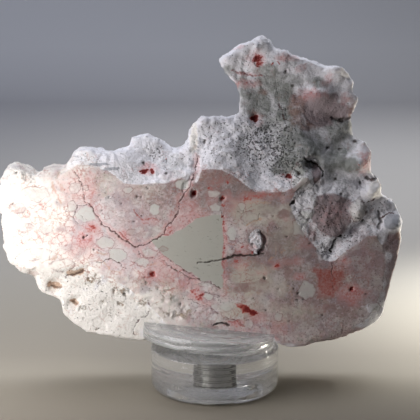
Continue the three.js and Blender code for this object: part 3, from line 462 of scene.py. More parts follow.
# The solid is taken to mm with the lapped face upright at depth 0, and rebuilt on an even grid.
world_from_stone = Matrix.Translation(STONE_FOOT * MM) @ Matrix.Rotation(-LEAN, 4, "X")
world_from_stone @= Matrix.Scale(MM, 4)
bpy.ops.object.select_all(action="DESELECT")
stone = bpy.data.objects.new("lapped_opal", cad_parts["opal_slice"].data.copy())
bpy.context.scene.collection.objects.link(stone)
stone.data.materials.clear()
stone.data.transform(world_from_stone.inverted())
stone.select_set(True)
bpy.context.view_layer.objects.active = stone
edit(bpy.ops.mesh.select_all, action="SELECT")
edit(bpy.ops.mesh.remove_doubles, threshold=0.002)
skin = stone.modifiers.new("skin", "REMESH")
skin.mode = "VOXEL"
skin.voxel_size = SKIN
bpy.ops.object.modifier_apply(modifier="skin")

# The natural skin is eased, and the lapped face and the sawn back stay flat.
depth = columns(stone.data.vertices, "co")[:, 1]
select_only(stone.data, "vertices", (depth >= FLAT_LAYER) & (depth <= THICKNESS - FLAT_LAYER))
edit(bpy.ops.mesh.vertices_smooth, factor=0.5, repeat=3)

# The front is split finer, and finer again beside the cracks.
select_only(stone.data, "polygons", columns(stone.data.polygons, "normal")[:, 1] < -0.3)
edit(bpy.ops.mesh.subdivide, number_cuts=1)
middles = columns(stone.data.polygons, "center")
wide_cracks = [(CRACK_MARGIN + 2 * half, 1, line) for half, _, line in OPEN_CRACKS + DEEP_GAPS]
beside = seams(middles[:, [0, 2]], wide_cracks, np.zeros(len(middles)))
select_only(stone.data, "polygons", (beside > 0.1) & (middles[:, 1] < 9))
edit(bpy.ops.mesh.subdivide, number_cuts=1)

# Where each mark falls. Marks run into the stone, and wander on their way to the sawn back.
points = columns(stone.data.vertices, "co")
normals = columns(stone.data.vertices, "normal")
depth = points[:, 1]
far_in = gauge((8.8, 11), depth)[:, None]
frayed = wander(points, 1.1, 3, reach=0.2)
jagged = wander(points, 0.45, 12, reach=0.17)
places = points[:, [0, 2]] + frayed + wander(points, 9, 1, reach=2.2) * far_in
ragged = grain(points, 0.7, 5)
cloudy = grain(points, 1.8, 6)
lapped = 1 - gauge((0.06, 0.16), depth)
lapped[depth > THICKNESS - FLAT_LAYER] = 1
sawn = gauge((THICKNESS - 0.3, THICKNESS - 0.1), depth)
fine_cracks = [(0.5 * half, strength, line) for half, strength, line in OPEN_CRACKS]
crack = seams(places + jagged, fine_cracks, cloudy)
gap = seams(places + 0.5 * jagged, DEEP_GAPS, 0.6 * ragged)
seam = seams(places, RED_SEAMS, ragged)
tan_vein = seams(places + jagged, TAN_VEINS, cloudy)
red = stains(places + jagged, CINNABAR, 0.45, 0.3 * ragged)
lens = gauge((-0.35, 0.35), patch_depth(places, CINNABAR_LENS) + 0.25 * ragged)
red = np.maximum(red, lens * (0.6 + 0.35 * gauge((4.8, 6.6), places[:, 0])))
blush = stains(places, BLUSH, 0.75, 0.25 * cloudy + 0.15 * ragged)
fringes = [(0.9, 0.5, line) for _, _, line in OPEN_CRACKS[:12]]
blush = np.maximum(blush, seams(places, fringes, cloudy))
salmon = gauge((-1.2, 0.9), patch_depth(places, SALMON) + 0.5 * cloudy + 0.3 * ragged)
rust = stains(places, RUST, 0.5, 0.3 * cloudy)
plum = stains(places, PLUM, 0.5, 0.25 * cloudy)
for block, edge in ((PLUM_BLOCK, 0.4), (TOWER_BLOCK, 1)):
    plum = np.maximum(plum, gauge((-edge, edge), patch_depth(places, block) + edge * cloudy))
pale = shards(places, PALE_OPAL, 0.22, 0.2 * cloudy + 0.12 * ragged)
pale *= 1 - 0.28 * gauge((-8, 8), places[:, 0])
plain = gauge((-0.2, 0.25), patch_depth(places, PLAIN_OPAL) + 0.15 * cloudy)
pins = stains(places, [(u, v, 0.85 * r, 0.85 * r, 1) for u, v, r in PIN_HOLES], 0.45, 0.25 * ragged)

# The gas bubble, the crust that fills its left side, and the flat rims round it and round the fallen grains.
bubble_u, bubble_v, bubble_across, bubble_up = GAS_BUBBLE
beside_bubble = places[:, 0] - bubble_u
above_bubble = places[:, 1] - bubble_v
bubble = 1 - np.hypot(beside_bubble / bubble_across, above_bubble / bubble_up)
filled = 1 - np.hypot((beside_bubble + 0.95) / bubble_across, (above_bubble - 0.35) / bubble_up)
open_side = gauge((0.1, -0.15), filled + 0.08 * ragged) * (beside_bubble > 0)
fallen = [oval for oval in CINNABAR if oval[4] == 1]
holes = stains(places, fallen, 0.45, 0.15 * ragged)
round_holes = stains(places, [(u, v, 3.4 * a, 3.4 * b, 1) for u, v, a, b, _ in fallen if v < 30], 0.3, 0)
bubble_rim = gauge((-0.55, -0.4), bubble)
lapped = np.maximum(lapped, np.maximum(round_holes, bubble_rim))

# Relief: the rough skin is crumbly, but calm low down beside the face. The cracks are grooves and the holes
# are sunk. Only the front takes the marks' relief.
rough = 1 - np.maximum(lapped, sawn)
crumbs = np.abs(grain(points, 1.7, 8)) - 0.35
crumblets = np.abs(grain(points, 0.8, 10)) - 0.35
relief = 0.22 * grain(points, 3.4, 9) + 0.34 * crumbs + 0.22 * crumblets
calm = (points[:, 2] < 12) & (depth < 3)
relief = np.where(calm, 0.3 * relief, relief)
eased_skin = stains(places, EASED_SKIN, 0.5, 0.2 * cloudy)
relief *= 1 - 0.6 * eased_skin
moved = points + normals * (relief * rough)[:, None]
sink = 0.1 * crack + 0.6 * gap + 0.3 * pins + 0.4 * holes
sink -= stains(places, WHITE_LUMPS, 0.6, 0) * rough * 0.6
sink += 0.4 * stains(places, PITTED, 0.6, 0.3 * cloudy) * gauge((0.3, 0.5), grain(points, 0.85, 16))
front = 1 - gauge((8.5, 9.5), depth)
moved[:, 1] *= 1 - stains(places, SHALLOW, 0.6, 0) * front
moved[:, 1] *= 1 - round_holes * (1 - holes) * front
moved[:, 1] *= 1 - bubble_rim * front
crusted = (stains(places, [FILLED_HOLLOW], 0.3, 0) > 0.5) & (depth < 9.9)
moved[:, 1] = np.where(crusted, np.minimum(moved[:, 1], HOLLOW_DEPTH + crumbs), moved[:, 1])
moved[:, 1] += sink * front

# The gas bubble is half filled by a pale crust, and stays open as a deep crescent on its right.
crust = 0.05 + 0.25 * np.abs(grain(points, 1.1, 14)) + 1.1 * open_side
inside_bubble = gauge((0, 0.06), bubble) * front
sunk = inside_bubble * crust + (1 - inside_bubble) * moved[:, 1]
moved[:, 1] = np.where(inside_bubble > 0, sunk, moved[:, 1])
moved[:, 1] = np.clip(moved[:, 1], 0, THICKNESS)

# Back on the stand, it stays inside the box of its solid.
low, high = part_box("opal_slice")
stone.data.vertices.foreach_set("co", moved.ravel())
stone.data.transform(world_from_stone)
settled = np.clip(columns(stone.data.vertices, "co"), np.array(low), np.array(high))
stone.data.vertices.foreach_set("co", settled.ravel())
stone.data.update()
bpy.ops.object.shade_smooth()

# The marks go to the material as attributes of the mesh. Shade is painted shade: the dark inside of gaps, pin
# holes and the open crescent of the bubble, the cracks in the bubble's crust, and a rim just outside the
# crescent that would otherwise catch the light.
shade = np.clip(0.9 * gap + 0.8 * pins, 0, 1)
shade = np.maximum(shade, 0.42 * gauge((-0.28, -0.12), bubble) * open_side * front)
crust_cracks = 1 - gauge((0.01, 0.05), np.abs(grain(points, 2.6, 15)))
shade = np.maximum(shade, 0.9 * inside_bubble * crust_cracks)
cut_face = lapped * (1 - inside_bubble)
whitened = np.maximum(rough, shards(places, CHALKY, 0.4, 0.3 * cloudy + 0.3 * ragged))
whitened = np.maximum(whitened, inside_bubble * (1 - 0.8 * open_side))
bare_rim = stains(places, BARE_RIM, 0.5, 0.3 * cloudy)
pepper = 0.35 * (1 - eased_skin) + 0.65 * stains(places, PEPPER, 0.6, 0.3 * cloudy)
marks = {
    "lapped": cut_face,
    "open_crack": crack * front + 0.6 * crack * (1 - front),
    "red_seam": seam,
    "tan_vein": tan_vein,
    "cinnabar": red,
    "blush": blush,
    "salmon": salmon,
    "rust": rust,
    "plum": plum,
    "pale_opal": pale,
    "plain_opal": plain,
    "chalk": whitened * (1 - 0.8 * bare_rim),
    "cream": stains(places, CREAM, 0.5, 0.3 * cloudy),
    "moss": stains(places, MOSS, 0.5, 0.3 * cloudy),
    "beige": stains(places, BEIGE, 0.6, 0.4 * cloudy) * cut_face,
    "dusky": stains(places, DUSKY, 0.6, 0.3 * cloudy) * cut_face,
    "milky": stains(places, MILKY, 0.6, 0.3 * cloudy) * cut_face,
    "glassy": stains(places, GLASSY, 0.3, 0.15 * cloudy),
    "veined": stains(places, VEINED, 0.6, 0.4 * cloudy),
    "pepper": pepper * (1 - inside_bubble),
    "pitted": stains(places, PITTED, 0.6, 0.3 * cloudy),
    "shade": shade,
}
for name, amount in marks.items():
    layer = stone.data.attributes.new(name, "FLOAT", "POINT")
    layer.data.foreach_set("value", np.clip(amount, 0, 1).astype(np.float32))


def linear(code):
    """sRGB hex to a linear colour."""
    parts = [int(code[i : i + 2], 16) / 255 for i in (1, 3, 5)]
    return (*[c / 12.92 if c <= 0.04045 else ((c + 0.055) / 1.055) ** 2.4 for c in parts], 1)


def add(tree, kind, sockets, **settings):
    """A node with its settings, and its sockets set or linked. A node given as a value stands for its first
    output in use. On a Map Range, sockets 1 and 2 are the input's ends, and 3 and 4 the output's. On a Mix, 0
    is the share of 3 over 2, or of colour 7 over colour 6."""
    made = tree.nodes.new(kind)
    for name, value in settings.items():
        setattr(made, name, value)
    for key, value in sockets.items():
        if isinstance(value, bpy.types.Node):
            value = next(output for output in value.outputs if output.enabled)
        if isinstance(value, bpy.types.NodeSocket):
            tree.links.new(value, made.inputs[key])
        else:
            made.inputs[key].default_value = value
    return made


def new_material(name):
    """A material with no nodes yet."""
    made = bpy.data.materials.new(name)
    made.use_nodes = True
    made.node_tree.nodes.clear()
    return made


# Brecciated common opal: angular scraps of milky opal set in mauve-pink jasper, with red cinnabar dust and
# fine veins between them. The lapped face has a soft satin polish. The rough skin is chalk white and matt,
# with pores about 0.2 mm wide whose shade is painted black; they are drawn about twice as wide, so that they
# show.
PER_MM = 1000
opal = new_material("brecciated_opal_lapped_and_rough")
tree = opal.node_tree
where = add(tree, "ShaderNodeTexCoord", {}).outputs["Object"]
mark = {n: add(tree, "ShaderNodeAttribute", {}, attribute_name=n).outputs["Fac"] for n in marks}
texture = {}
for name, size, detail, roughness in [
    ("broad", 6, 4, 0.5),
    ("cloud", 2.4, 4, 0.6),
    ("mottle", 0.9, 5, 0.65),
    ("streak", 0.45, 4, 0.7),
    ("speck", 0.38, 2, 0.5),
]:
    clouds = add(tree, "ShaderNodeTexNoise",
                 {"Vector": where, "Scale": PER_MM / size, "Detail": detail, "Roughness": roughness})
    texture[name] = clouds.outputs["Fac"]

# Scraps and veins are bent by up to 2.2 mm over a few mm, and by up to 0.6 mm over less than one.
cloud_colour, streak_colour = (texture[name].node.outputs["Color"] for name in ("cloud", "streak"))
warp = add(tree, "ShaderNodeVectorMath", {0: cloud_colour, 1: [2.2 * MM] * 3}, operation="MULTIPLY")
nudge = add(tree, "ShaderNodeVectorMath", {0: streak_colour, 1: [0.6 * MM] * 3, 2: warp},
            operation="MULTIPLY_ADD")
bent = add(tree, "ShaderNodeVectorMath", {0: where, 1: nudge}, operation="ADD")

# The jasper ground drifts from mauve to pink-beige.
ground_mix = add(tree, "ShaderNodeMix", {0: 0.45, 2: texture["broad"], 3: texture["mottle"]})
ground = add(tree, "ShaderNodeValToRGB", {"Fac": ground_mix})
ground.color_ramp.elements[0].position = 0.38
ground.color_ramp.elements[0].color = linear("#94858a")
ground.color_ramp.elements[1].position = 0.65
ground.color_ramp.elements[1].color = linear("#d6cecb")
for place, code in [(0.45, "#b2a3a6"), (0.51, "#c0a8a5"), (0.57, "#bab4a6")]:
    ground.color_ramp.elements.new(place).color = linear(code)
body = ground

# Scraps of three sizes in mm lie in it, some milky, some pink and some grey.
for size, pale_from, pink_from in [(5.4, 0.6, 0.6), (3, 0.66, 0.7), (1.25, 0.7, 0.74)]:
    cells = add(tree, "ShaderNodeTexVoronoi", {"Vector": bent, "Scale": PER_MM / size})
    tone = add(tree, "ShaderNodeSeparateColor", {"Color": cells.outputs["Color"]})
    for channel, start, code, most in [
        (0, pale_from, "#dfdcda", 0.5),
        (1, pink_from, "#c39c9b", 0.35),
        (2, 0.72, "#a0979a", 0.4),
    ]:
        share = add(tree, "ShaderNodeMapRange",
                    {0: tone.outputs[channel], 1: start, 2: start + 0.2, 3: 0, 4: most})
        uneven = add(tree, "ShaderNodeMath", {0: share, 1: texture["mottle"]}, operation="MULTIPLY")
        doubled = add(tree, "ShaderNodeMath", {0: uneven, 1: 2}, operation="MULTIPLY", use_clamp=True)
        body = add(tree, "ShaderNodeMix", {0: doubled, 6: body, 7: linear(code)}, data_type="RGBA")

# Fine freckles in the jasper, under the stains.
for name, low_end, high_end, code, most in [
    ("streak", 0.53, 0.66, "#75605e", 0.55),
    ("streak", 0.42, 0.32, "#e9e4e1", 0.45),
    ("speck", 0.63, 0.69, "#4c3c3a", 0.7),
]:
    freckle = add(tree, "ShaderNodeMapRange", {0: texture[name], 1: low_end, 2: high_end, 3: 0, 4: most})
    body = add(tree, "ShaderNodeMix", {0: freckle, 6: body, 7: linear(code)}, data_type="RGBA")

# Hairline joints between the scraps, redder and denser in the veined parts.
vein = None
for size, width in [(3.6, 0.03), (1.5, 0.055)]:
    edges = add(tree, "ShaderNodeTexVoronoi", {"Vector": bent, "Scale": PER_MM / size},
                feature="DISTANCE_TO_EDGE")
    line = add(tree, "ShaderNodeMapRange",
               {0: edges.outputs["Distance"], 1: 0.3 * width, 2: width, 3: 1, 4: 0})
    vein = add(tree, "ShaderNodeMath", {0: vein, 1: line}, operation="MAXIMUM") if vein else line
field = add(tree, "ShaderNodeMath", {0: mark["veined"], 1: 0.3, 2: texture["cloud"]},
            operation="MULTIPLY_ADD")
present = add(tree, "ShaderNodeMapRange", {0: field, 1: 0.52, 2: 0.8, 3: 0, 4: 0.85})
unbroken = add(tree, "ShaderNodeMapRange", {0: texture["mottle"], 1: 0.4, 2: 0.56, 3: 0.35, 4: 1})
present_part = add(tree, "ShaderNodeMath", {0: present, 1: unbroken}, operation="MULTIPLY")
mark["vein"] = add(tree, "ShaderNodeMath", {0: vein, 1: present_part}, operation="MULTIPLY")
mark["tan_web"] = add(tree, "ShaderNodeMath", {0: mark["vein"], 1: mark["cream"]}, operation="MULTIPLY")


def stain_over(below, name, code, most, fray, swing, start, full):
    """A mark stains the colours below it, from the strength at which it starts to show to where it is full.
    A texture swings its strength, so that it frays."""
    frayed = add(tree, "ShaderNodeMath", {0: texture[fray], 1: swing, 2: mark[name]},
                 operation="MULTIPLY_ADD")
    share = add(tree, "ShaderNodeMapRange",
                {0: frayed, 1: start + swing / 2, 2: full + swing / 2, 3: 0, 4: most})
    return add(tree, "ShaderNodeMix", {0: share, 6: below, 7: linear(code)}, data_type="RGBA")


# Each stain lies over the last: mark, colour, most that shows, fraying texture, its swing, start and full.
for layer in [
    ("chalk", "#eeedf2", 0.97, "mottle", 0.5, 0.2, 0.6),
    ("milky", "#ebe3e4", 0.6, "cloud", 0.9, 0.15, 0.8),
    ("cream", "#f4f0e8", 0.85, "cloud", 0.7, 0.2, 0.8),
    ("dusky", "#7a6a67", 0.8, "mottle", 1.5, 0.3, 1.05),
    ("beige", "#c6c1b3", 0.75, "cloud", 0.9, 0.2, 0.8),
    ("tan_web", "#dcc0a6", 0.7, "cloud", 0, 0, 0.8),
    ("tan_vein", "#c4a184", 0.8, "mottle", 0.9, 0.2, 0.9),
    ("moss", "#747870", 0.85, "mottle", 1.0, 0.2, 0.95),
    ("plum", "#8a7476", 0.8, "mottle", 1.0, 0.2, 0.85),
    ("rust", "#a07c70", 0.7, "mottle", 1.6, 0.25, 0.95),
    ("vein", "#a0605c", 0.85, "cloud", 0, 0, 1),
    ("blush", "#d99a98", 0.6, "mottle", 1.0, 0.15, 0.9),
    ("blush", "#b05652", 0.75, "streak", 2.4, 0.7, 1.15),
    ("salmon", "#a2635a", 0.65, "mottle", 1.2, 0.3, 0.9),
    ("salmon", "#9c4238", 0.7, "streak", 2.4, 0.8, 1.3),
    ("pale_opal", "#cccdc7", 0.8, "mottle", 0.9, 0.3, 0.85),
    ("plain_opal", "#afafa6", 0.95, "mottle", 0.2, 0.3, 0.6),
    ("glassy", "#8f939b", 0.75, "mottle", 0.3, 0.3, 0.6),
]:
    body = stain_over(body, *layer)

# A dark rim round the pale scraps, and short dark dashes in the plain opal.
rim = add(tree, "ShaderNodeValToRGB", {"Fac": mark["pale_opal"]})
rim.color_ramp.elements[0].position = 0.08
rim.color_ramp.elements[0].color = (0, 0, 0, 1)
rim.color_ramp.elements[1].position = 0.5
rim.color_ramp.elements[1].color = (0, 0, 0, 1)
rim.color_ramp.elements.new(0.26).color = (1, 1, 1, 1)
rim_field = add(tree, "ShaderNodeMapRange", {0: texture["cloud"], 1: 0.4, 2: 0.58, 3: 0.1, 4: 0.8})
rim_share = add(tree, "ShaderNodeMath", {0: rim, 1: rim_field}, operation="MULTIPLY")
body = add(tree, "ShaderNodeMix", {0: rim_share, 6: body, 7: linear("#8d716e")}, data_type="RGBA")
dash_grid = add(tree, "ShaderNodeVectorMath", {0: bent, 1: (0.8 * PER_MM, PER_MM, 3.6 * PER_MM)},
                operation="MULTIPLY")
dashes = add(tree, "ShaderNodeTexNoise", {"Vector": dash_grid, "Scale": 1, "Detail": 2})
dash = add(tree, "ShaderNodeMapRange", {0: dashes.outputs["Fac"], 1: 0.66, 2: 0.72, 3: 0, 4: 0.6})
dash_share = add(tree, "ShaderNodeMath", {0: dash, 1: mark["plain_opal"]}, operation="MULTIPLY")
body = add(tree, "ShaderNodeMix", {0: dash_share, 6: body, 7: linear("#74756b")}, data_type="RGBA")

# Painted shade in the pores of the rough skin, in black, then painted shade in the wriggling pits of the
# cream corner, in tan-brown.
pore_field = add(tree, "ShaderNodeMath", {0: mark["pepper"], 1: 0.2, 2: texture["speck"]},
                 operation="MULTIPLY_ADD")
pore_mask = add(tree, "ShaderNodeMapRange", {0: pore_field, 1: 0.73, 2: 0.82, 3: 0, 4: 0.85})
pore = add(tree, "ShaderNodeMath", {0: pore_mask, 1: mark["chalk"]}, operation="MULTIPLY")
body = add(tree, "ShaderNodeMix", {0: pore, 6: body, 7: linear("#403e3d")}, data_type="RGBA")
wriggle = add(tree, "ShaderNodeTexNoise",
              {"Vector": bent, "Scale": PER_MM / 0.8, "Detail": 3, "Distortion": 0.9})
pit_field = add(tree, "ShaderNodeMath", {0: mark["pitted"], 1: 0.16, 2: wriggle.outputs["Fac"]},
                operation="MULTIPLY_ADD")
pit = add(tree, "ShaderNodeMapRange", {0: pit_field, 1: 0.68, 2: 0.73, 3: 0, 4: 1})
pit_share = add(tree, "ShaderNodeMath", {0: pit, 1: mark["pitted"]}, operation="MULTIPLY")
body = add(tree, "ShaderNodeMix", {0: pit_share, 6: body, 7: linear("#ab9986")}, data_type="RGBA")

# Cinnabar, the painted shade and the open cracks go on last. All fray, so that they break into streaks.
for layer in [
    ("red_seam", "#a04a44", 0.8, "streak", 1.6, 0.45, 0.95),
    ("cinnabar", "#b8463a", 0.9, "streak", 1.4, 0.3, 0.7),
    ("cinnabar", "#651212", 0.95, "streak", 1.2, 0.55, 0.9),
    ("shade", "#3d332c", 0.9, "streak", 0.3, 0.1, 0.8),
    ("open_crack", "#533632", 0.9, "streak", 0.4, 0.2, 0.75),
]:
    body = stain_over(body, *layer)

# The rough skin is gritty and matt, with its pores sunk. The lapped face is satin.
rough_share = add(tree, "ShaderNodeMath", {0: 1, 1: mark["lapped"]}, operation="SUBTRACT")
grit_height = add(tree, "ShaderNodeMath", {0: texture["streak"], 1: pore}, operation="SUBTRACT")
grit_bump = add(tree, "ShaderNodeBump",
                {"Strength": rough_share, "Distance": 0.35 * MM, "Height": grit_height})
pit_bump = add(tree, "ShaderNodeBump",
               {"Strength": 0.8, "Distance": 0.2 * MM, "Height": pit_share, "Normal": grit_bump}, invert=True)
finish = add(tree, "ShaderNodeMapRange", {0: mark["lapped"], 1: 0, 2: 1, 3: 0.85, 4: 0.36})
surface = add(tree, "ShaderNodeBsdfPrincipled",
              {"Base Color": body, "Roughness": finish, "IOR": 1.45, "Normal": pit_bump})
add(tree, "ShaderNodeOutputMaterial", {"Surface": surface})
stone.data.materials.append(opal)
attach(stone, "root")
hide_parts("opal_slice")

# ---------------------------------------------------------------- top disc
# A clear acrylic disc turned from 26 mm rod, tipped on the steel button. A step is milled across it, so that
# the slice stands on the lower seat behind the full-height lip. Its edge and its top keep their lathe marks.
DISC_CENTRE = Vector((-1.1, -2, 12.73)) * MM
DISC_RADIUS = 13.27
DISC_THICKNESS = 2.3
SEAT_RADIUS = 10.8
SEAT_DEPTH = 1.3
STEP = 0.7  # mm behind the middle, where the milled block begins
MILLED_BLOCK = (40, 20, 10)
DISC_ROUND = 0.2
ROLL = math.radians(5.5)
AROUND = 160
disc_turn = Matrix.Rotation(-LEAN, 4, "X") @ Matrix.Rotation(ROLL, 4, "Y")

bpy.ops.object.select_all(action="DESELECT")
bpy.ops.mesh.primitive_cylinder_add(vertices=AROUND, radius=DISC_RADIUS * MM, depth=DISC_THICKNESS * MM,
                                    location=(0, 0, -DISC_THICKNESS / 2 * MM))
disc = bpy.context.active_object
disc.name = "clear_disc"
bpy.ops.object.transform_apply()
bpy.ops.mesh.primitive_cube_add(size=1, location=(0, (STEP + MILLED_BLOCK[1] / 2) * MM, 0),
                                scale=[side * MM for side in MILLED_BLOCK])
cutter = bpy.context.active_object
bpy.ops.object.transform_apply()
bpy.ops.mesh.primitive_cylinder_add(vertices=AROUND, radius=SEAT_RADIUS * MM,
                                    depth=(DISC_THICKNESS - SEAT_DEPTH) * MM,
                                    location=(0, 0, -(DISC_THICKNESS + SEAT_DEPTH) / 2 * MM))
seat = bpy.context.active_object
bpy.ops.object.transform_apply()
for tool, action in ((cutter, "DIFFERENCE"), (seat, "UNION")):
    milled = disc.modifiers.new("milled", "BOOLEAN")
    milled.operation = action
    milled.object = tool
    milled.solver = "EXACT"
    bpy.context.view_layer.objects.active = disc
    bpy.ops.object.modifier_apply(modifier="milled")
    bpy.data.objects.remove(tool)
bpy.ops.object.select_all(action="DESELECT")
disc.select_set(True)
eased = disc.modifiers.new("eased", "BEVEL")
eased.width = DISC_ROUND * MM
eased.segments = 2
eased.limit_method = "ANGLE"
eased.angle_limit = math.radians(50)
bpy.ops.object.modifier_apply(modifier="eased")
disc.data.transform(Matrix.Translation(DISC_CENTRE) @ disc_turn)
bpy.ops.object.shade_smooth_by_angle(angle=math.radians(35))

# Clear cast acrylic, turned on a lathe and only flame polished: glassy, slightly grey, with rings that smear
# what is seen through it. The faced underside keeps sharp rings, and the rounded foot is left sanded. Real
# lathe marks are about 0.1 mm apart, too fine to show, so they are drawn at the coarser pitches below.
BAND_PITCH = 1.3
RING_PITCH = 4.2
FACED_PITCH = 1.1
WAVE = math.pi / 10  # the scale at which a wave texture repeats once per unit


def turned_acrylic(name, tint, clearness, most_haze, mark_depth):
    """Turned acrylic by its tint, its clear share, its roughness at the marks and how deep the marks are."""
    made = new_material(name)
    tree = made.node_tree
    where = add(tree, "ShaderNodeTexCoord", {}).outputs["Object"]
    bands = add(tree, "ShaderNodeTexWave",
                {"Vector": where, "Scale": WAVE * PER_MM / BAND_PITCH, "Distortion": 1.5, "Detail": 3,
                 "Detail Scale": 2},
                wave_type="BANDS", bands_direction="Z")
    rings = add(tree, "ShaderNodeTexWave",
                {"Vector": where, "Scale": WAVE * PER_MM / RING_PITCH, "Distortion": 3, "Detail": 4,
                 "Detail Scale": 3},
                wave_type="RINGS", rings_direction="Z")
    faced = add(tree, "ShaderNodeTexWave",
                {"Vector": where, "Scale": WAVE * PER_MM / FACED_PITCH, "Distortion": 0.4, "Detail": 1},
                wave_type="RINGS", rings_direction="Z")
    lathe_marks = add(tree, "ShaderNodeMath", {0: bands.outputs["Fac"], 1: rings.outputs["Fac"]},
                      operation="ADD")
    height = add(tree, "ShaderNodeSeparateXYZ", {0: where}).outputs[2]
    under = add(tree, "ShaderNodeMath", {0: height, 1: 0.05 * MM}, operation="LESS_THAN")
    haze = add(tree, "ShaderNodeMapRange", {0: lathe_marks, 1: 0.5, 2: 1.6, 3: 0.02, 4: most_haze})
    sanded = add(tree, "ShaderNodeMapRange", {0: height, 1: 0.3 * MM, 2: 1.4 * MM, 3: 0.16, 4: 0})
    finish = add(tree, "ShaderNodeMath", {0: haze, 1: sanded}, operation="ADD")
    relief = add(tree, "ShaderNodeMix", {0: under, 2: lathe_marks, 3: faced.outputs["Fac"]})
    strength = add(tree, "ShaderNodeMix", {0: under, 2: mark_depth, 3: 0.3})
    turned = add(tree, "ShaderNodeBump", {"Strength": strength, "Distance": 0.22 * MM, "Height": relief})
    clear = add(tree, "ShaderNodeBsdfPrincipled",
                {"Base Color": linear(tint), "Roughness": finish, "IOR": 1.49,
                 "Transmission Weight": clearness, "Normal": turned})
    add(tree, "ShaderNodeOutputMaterial", {"Surface": clear})
    return made


# The disc is the hazier of the two. Light passes through it, so it casts no shadow on the base and the table.
disc.data.materials.append(turned_acrylic("hazy_turned_acrylic", "#dfe0df", 0.74, 0.35, 0.8))
disc.visible_shadow = False
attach(disc, "root")
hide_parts("top_disc")

# ---------------------------------------------------------------- tilt button
# A small button turned from steel and glued under the middle of the disc. Its domed underside rests on the
# magnet, which holds it, so that the disc can tip. Its solid is kept, and only gets its finish here.
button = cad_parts["tilt_button"]

# Bright turned steel: a pale grey shine, dulled unevenly by fine scuffs.
steel = new_material("turned_steel_dome")
tree = steel.node_tree
where = add(tree, "ShaderNodeTexCoord", {}).outputs["Object"]
scuffs = add(tree, "ShaderNodeTexNoise", {"Vector": where, "Scale": PER_MM / 0.3, "Detail": 3})
scuff_finish = add(tree, "ShaderNodeMapRange", {0: scuffs.outputs["Fac"], 1: 0.3, 2: 0.7, 3: 0.2, 4: 0.4})
metal = add(tree, "ShaderNodeBsdfPrincipled",
            {"Base Color": linear("#b9bbbd"), "Metallic": 1, "Roughness": scuff_finish})
add(tree, "ShaderNodeOutputMaterial", {"Surface": metal})
button.data.materials.clear()
button.data.materials.append(steel)

# ---------------------------------------------------------------- rod magnet
# A rod magnet, sintered, ground and plated with nickel, 5.8 mm across. It is pressed into the blind bore of
# the base from above, and its side shows through the clear puck.
ROD_RADIUS = 2.9
ROD_LOW = 1.3
ROD_TOP = 8.6
ROD_ROUND = 0.25
bpy.ops.object.select_all(action="DESELECT")
bpy.ops.mesh.primitive_cylinder_add(vertices=96, radius=ROD_RADIUS * MM, depth=(ROD_TOP - ROD_LOW) * MM,
                                    location=(0, 0, (ROD_TOP + ROD_LOW) / 2 * MM))
rod = bpy.context.active_object
rod.name = "nickel_magnet"
bpy.ops.object.transform_apply()
rounded = rod.modifiers.new("rounded", "BEVEL")
rounded.width = ROD_ROUND * MM
rounded.segments = 3
rounded.limit_method = "ANGLE"
bpy.ops.object.modifier_apply(modifier="rounded")
bpy.ops.object.shade_smooth_by_angle(angle=math.radians(35))

# Nickel plate over a ground rod: a mirror broken into narrow hoops, whose dark and light tones are painted
# reflection. Grinding marks are finer than 0.1 mm and wouldn't show, so the hoops are drawn at the coarser
# pitch below.
HOOP_PITCH = 0.6
nickel = new_material("plated_nickel")
tree = nickel.node_tree
where = add(tree, "ShaderNodeTexCoord", {}).outputs["Object"]
hoops = add(tree, "ShaderNodeTexWave",
            {"Vector": where, "Scale": WAVE * PER_MM / HOOP_PITCH, "Distortion": 2.2, "Detail": 4,
             "Detail Scale": 3},
            wave_type="BANDS", bands_direction="Z")
hoop_bump = add(tree, "ShaderNodeBump",
                {"Strength": 1, "Distance": 0.05 * MM, "Height": hoops.outputs["Fac"]})
# Painted reflection: each hoop's tone runs from dark to light.
hoop_reflection_share = add(tree, "ShaderNodeMapRange", {0: hoops.outputs["Fac"], 1: 0.35, 2: 0.65, 3: 0, 4: 1})
painted_hoop_reflection = add(tree, "ShaderNodeMix",
                {0: hoop_reflection_share, 6: linear("#1e1f1e"), 7: linear("#9a9b98")}, data_type="RGBA")
plate = add(tree, "ShaderNodeBsdfPrincipled",
            {"Base Color": painted_hoop_reflection, "Metallic": 1, "Roughness": 0.34, "Normal": hoop_bump})
add(tree, "ShaderNodeOutputMaterial", {"Surface": plate})
rod.data.materials.append(nickel)
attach(rod, "root")
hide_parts("rod_magnet")

# ---------------------------------------------------------------- stand base
# A puck of clear acrylic, 26 mm across and 8.8 mm high, turned from rod with a rounded foot. The bore for the
# magnet is drilled down its middle, stops short of the underside, and grips the magnet, so that no air lies
# between them.
BASE_RADIUS = 13
BASE_HEIGHT = 8.8
GRIP = 0.03  # mm that the bore is tighter than the magnet
BORE_RADIUS = ROD_RADIUS - GRIP
BORE_FLOOR = ROD_LOW - GRIP
BORE_ROUND = 0.15
RIM_ROUND = 0.3
FOOT_ROUND = 1.6
RING_RADIUS = 6.4
RING_WIDTH = 0.4
RING_DEPTH = 0.3
bpy.ops.object.select_all(action="DESELECT")
bpy.ops.mesh.primitive_cylinder_add(vertices=AROUND, radius=BASE_RADIUS * MM, depth=BASE_HEIGHT * MM,
                                    location=(0, 0, BASE_HEIGHT / 2 * MM))
base = bpy.context.active_object
base.name = "clear_base"
bpy.ops.object.transform_apply()
select_only(base.data, "polygons", columns(base.data.polygons, "normal")[:, 2] > 0.9)
edit(bpy.ops.mesh.inset, thickness=(BASE_RADIUS - BORE_RADIUS) * MM)
to_bore_floor = (0, 0, (BORE_FLOOR - BASE_HEIGHT) * MM)
edit(bpy.ops.mesh.extrude_region_move, TRANSFORM_OT_translate={"value": to_bore_floor})


def edges_between(mesh, chosen):
    """The edges with both ends at chosen vertices."""
    ends = np.zeros(len(mesh.edges) * 2, int)
    mesh.edges.foreach_get("vertices", ends)
    return chosen[ends.reshape(-1, 2)].all(axis=1)


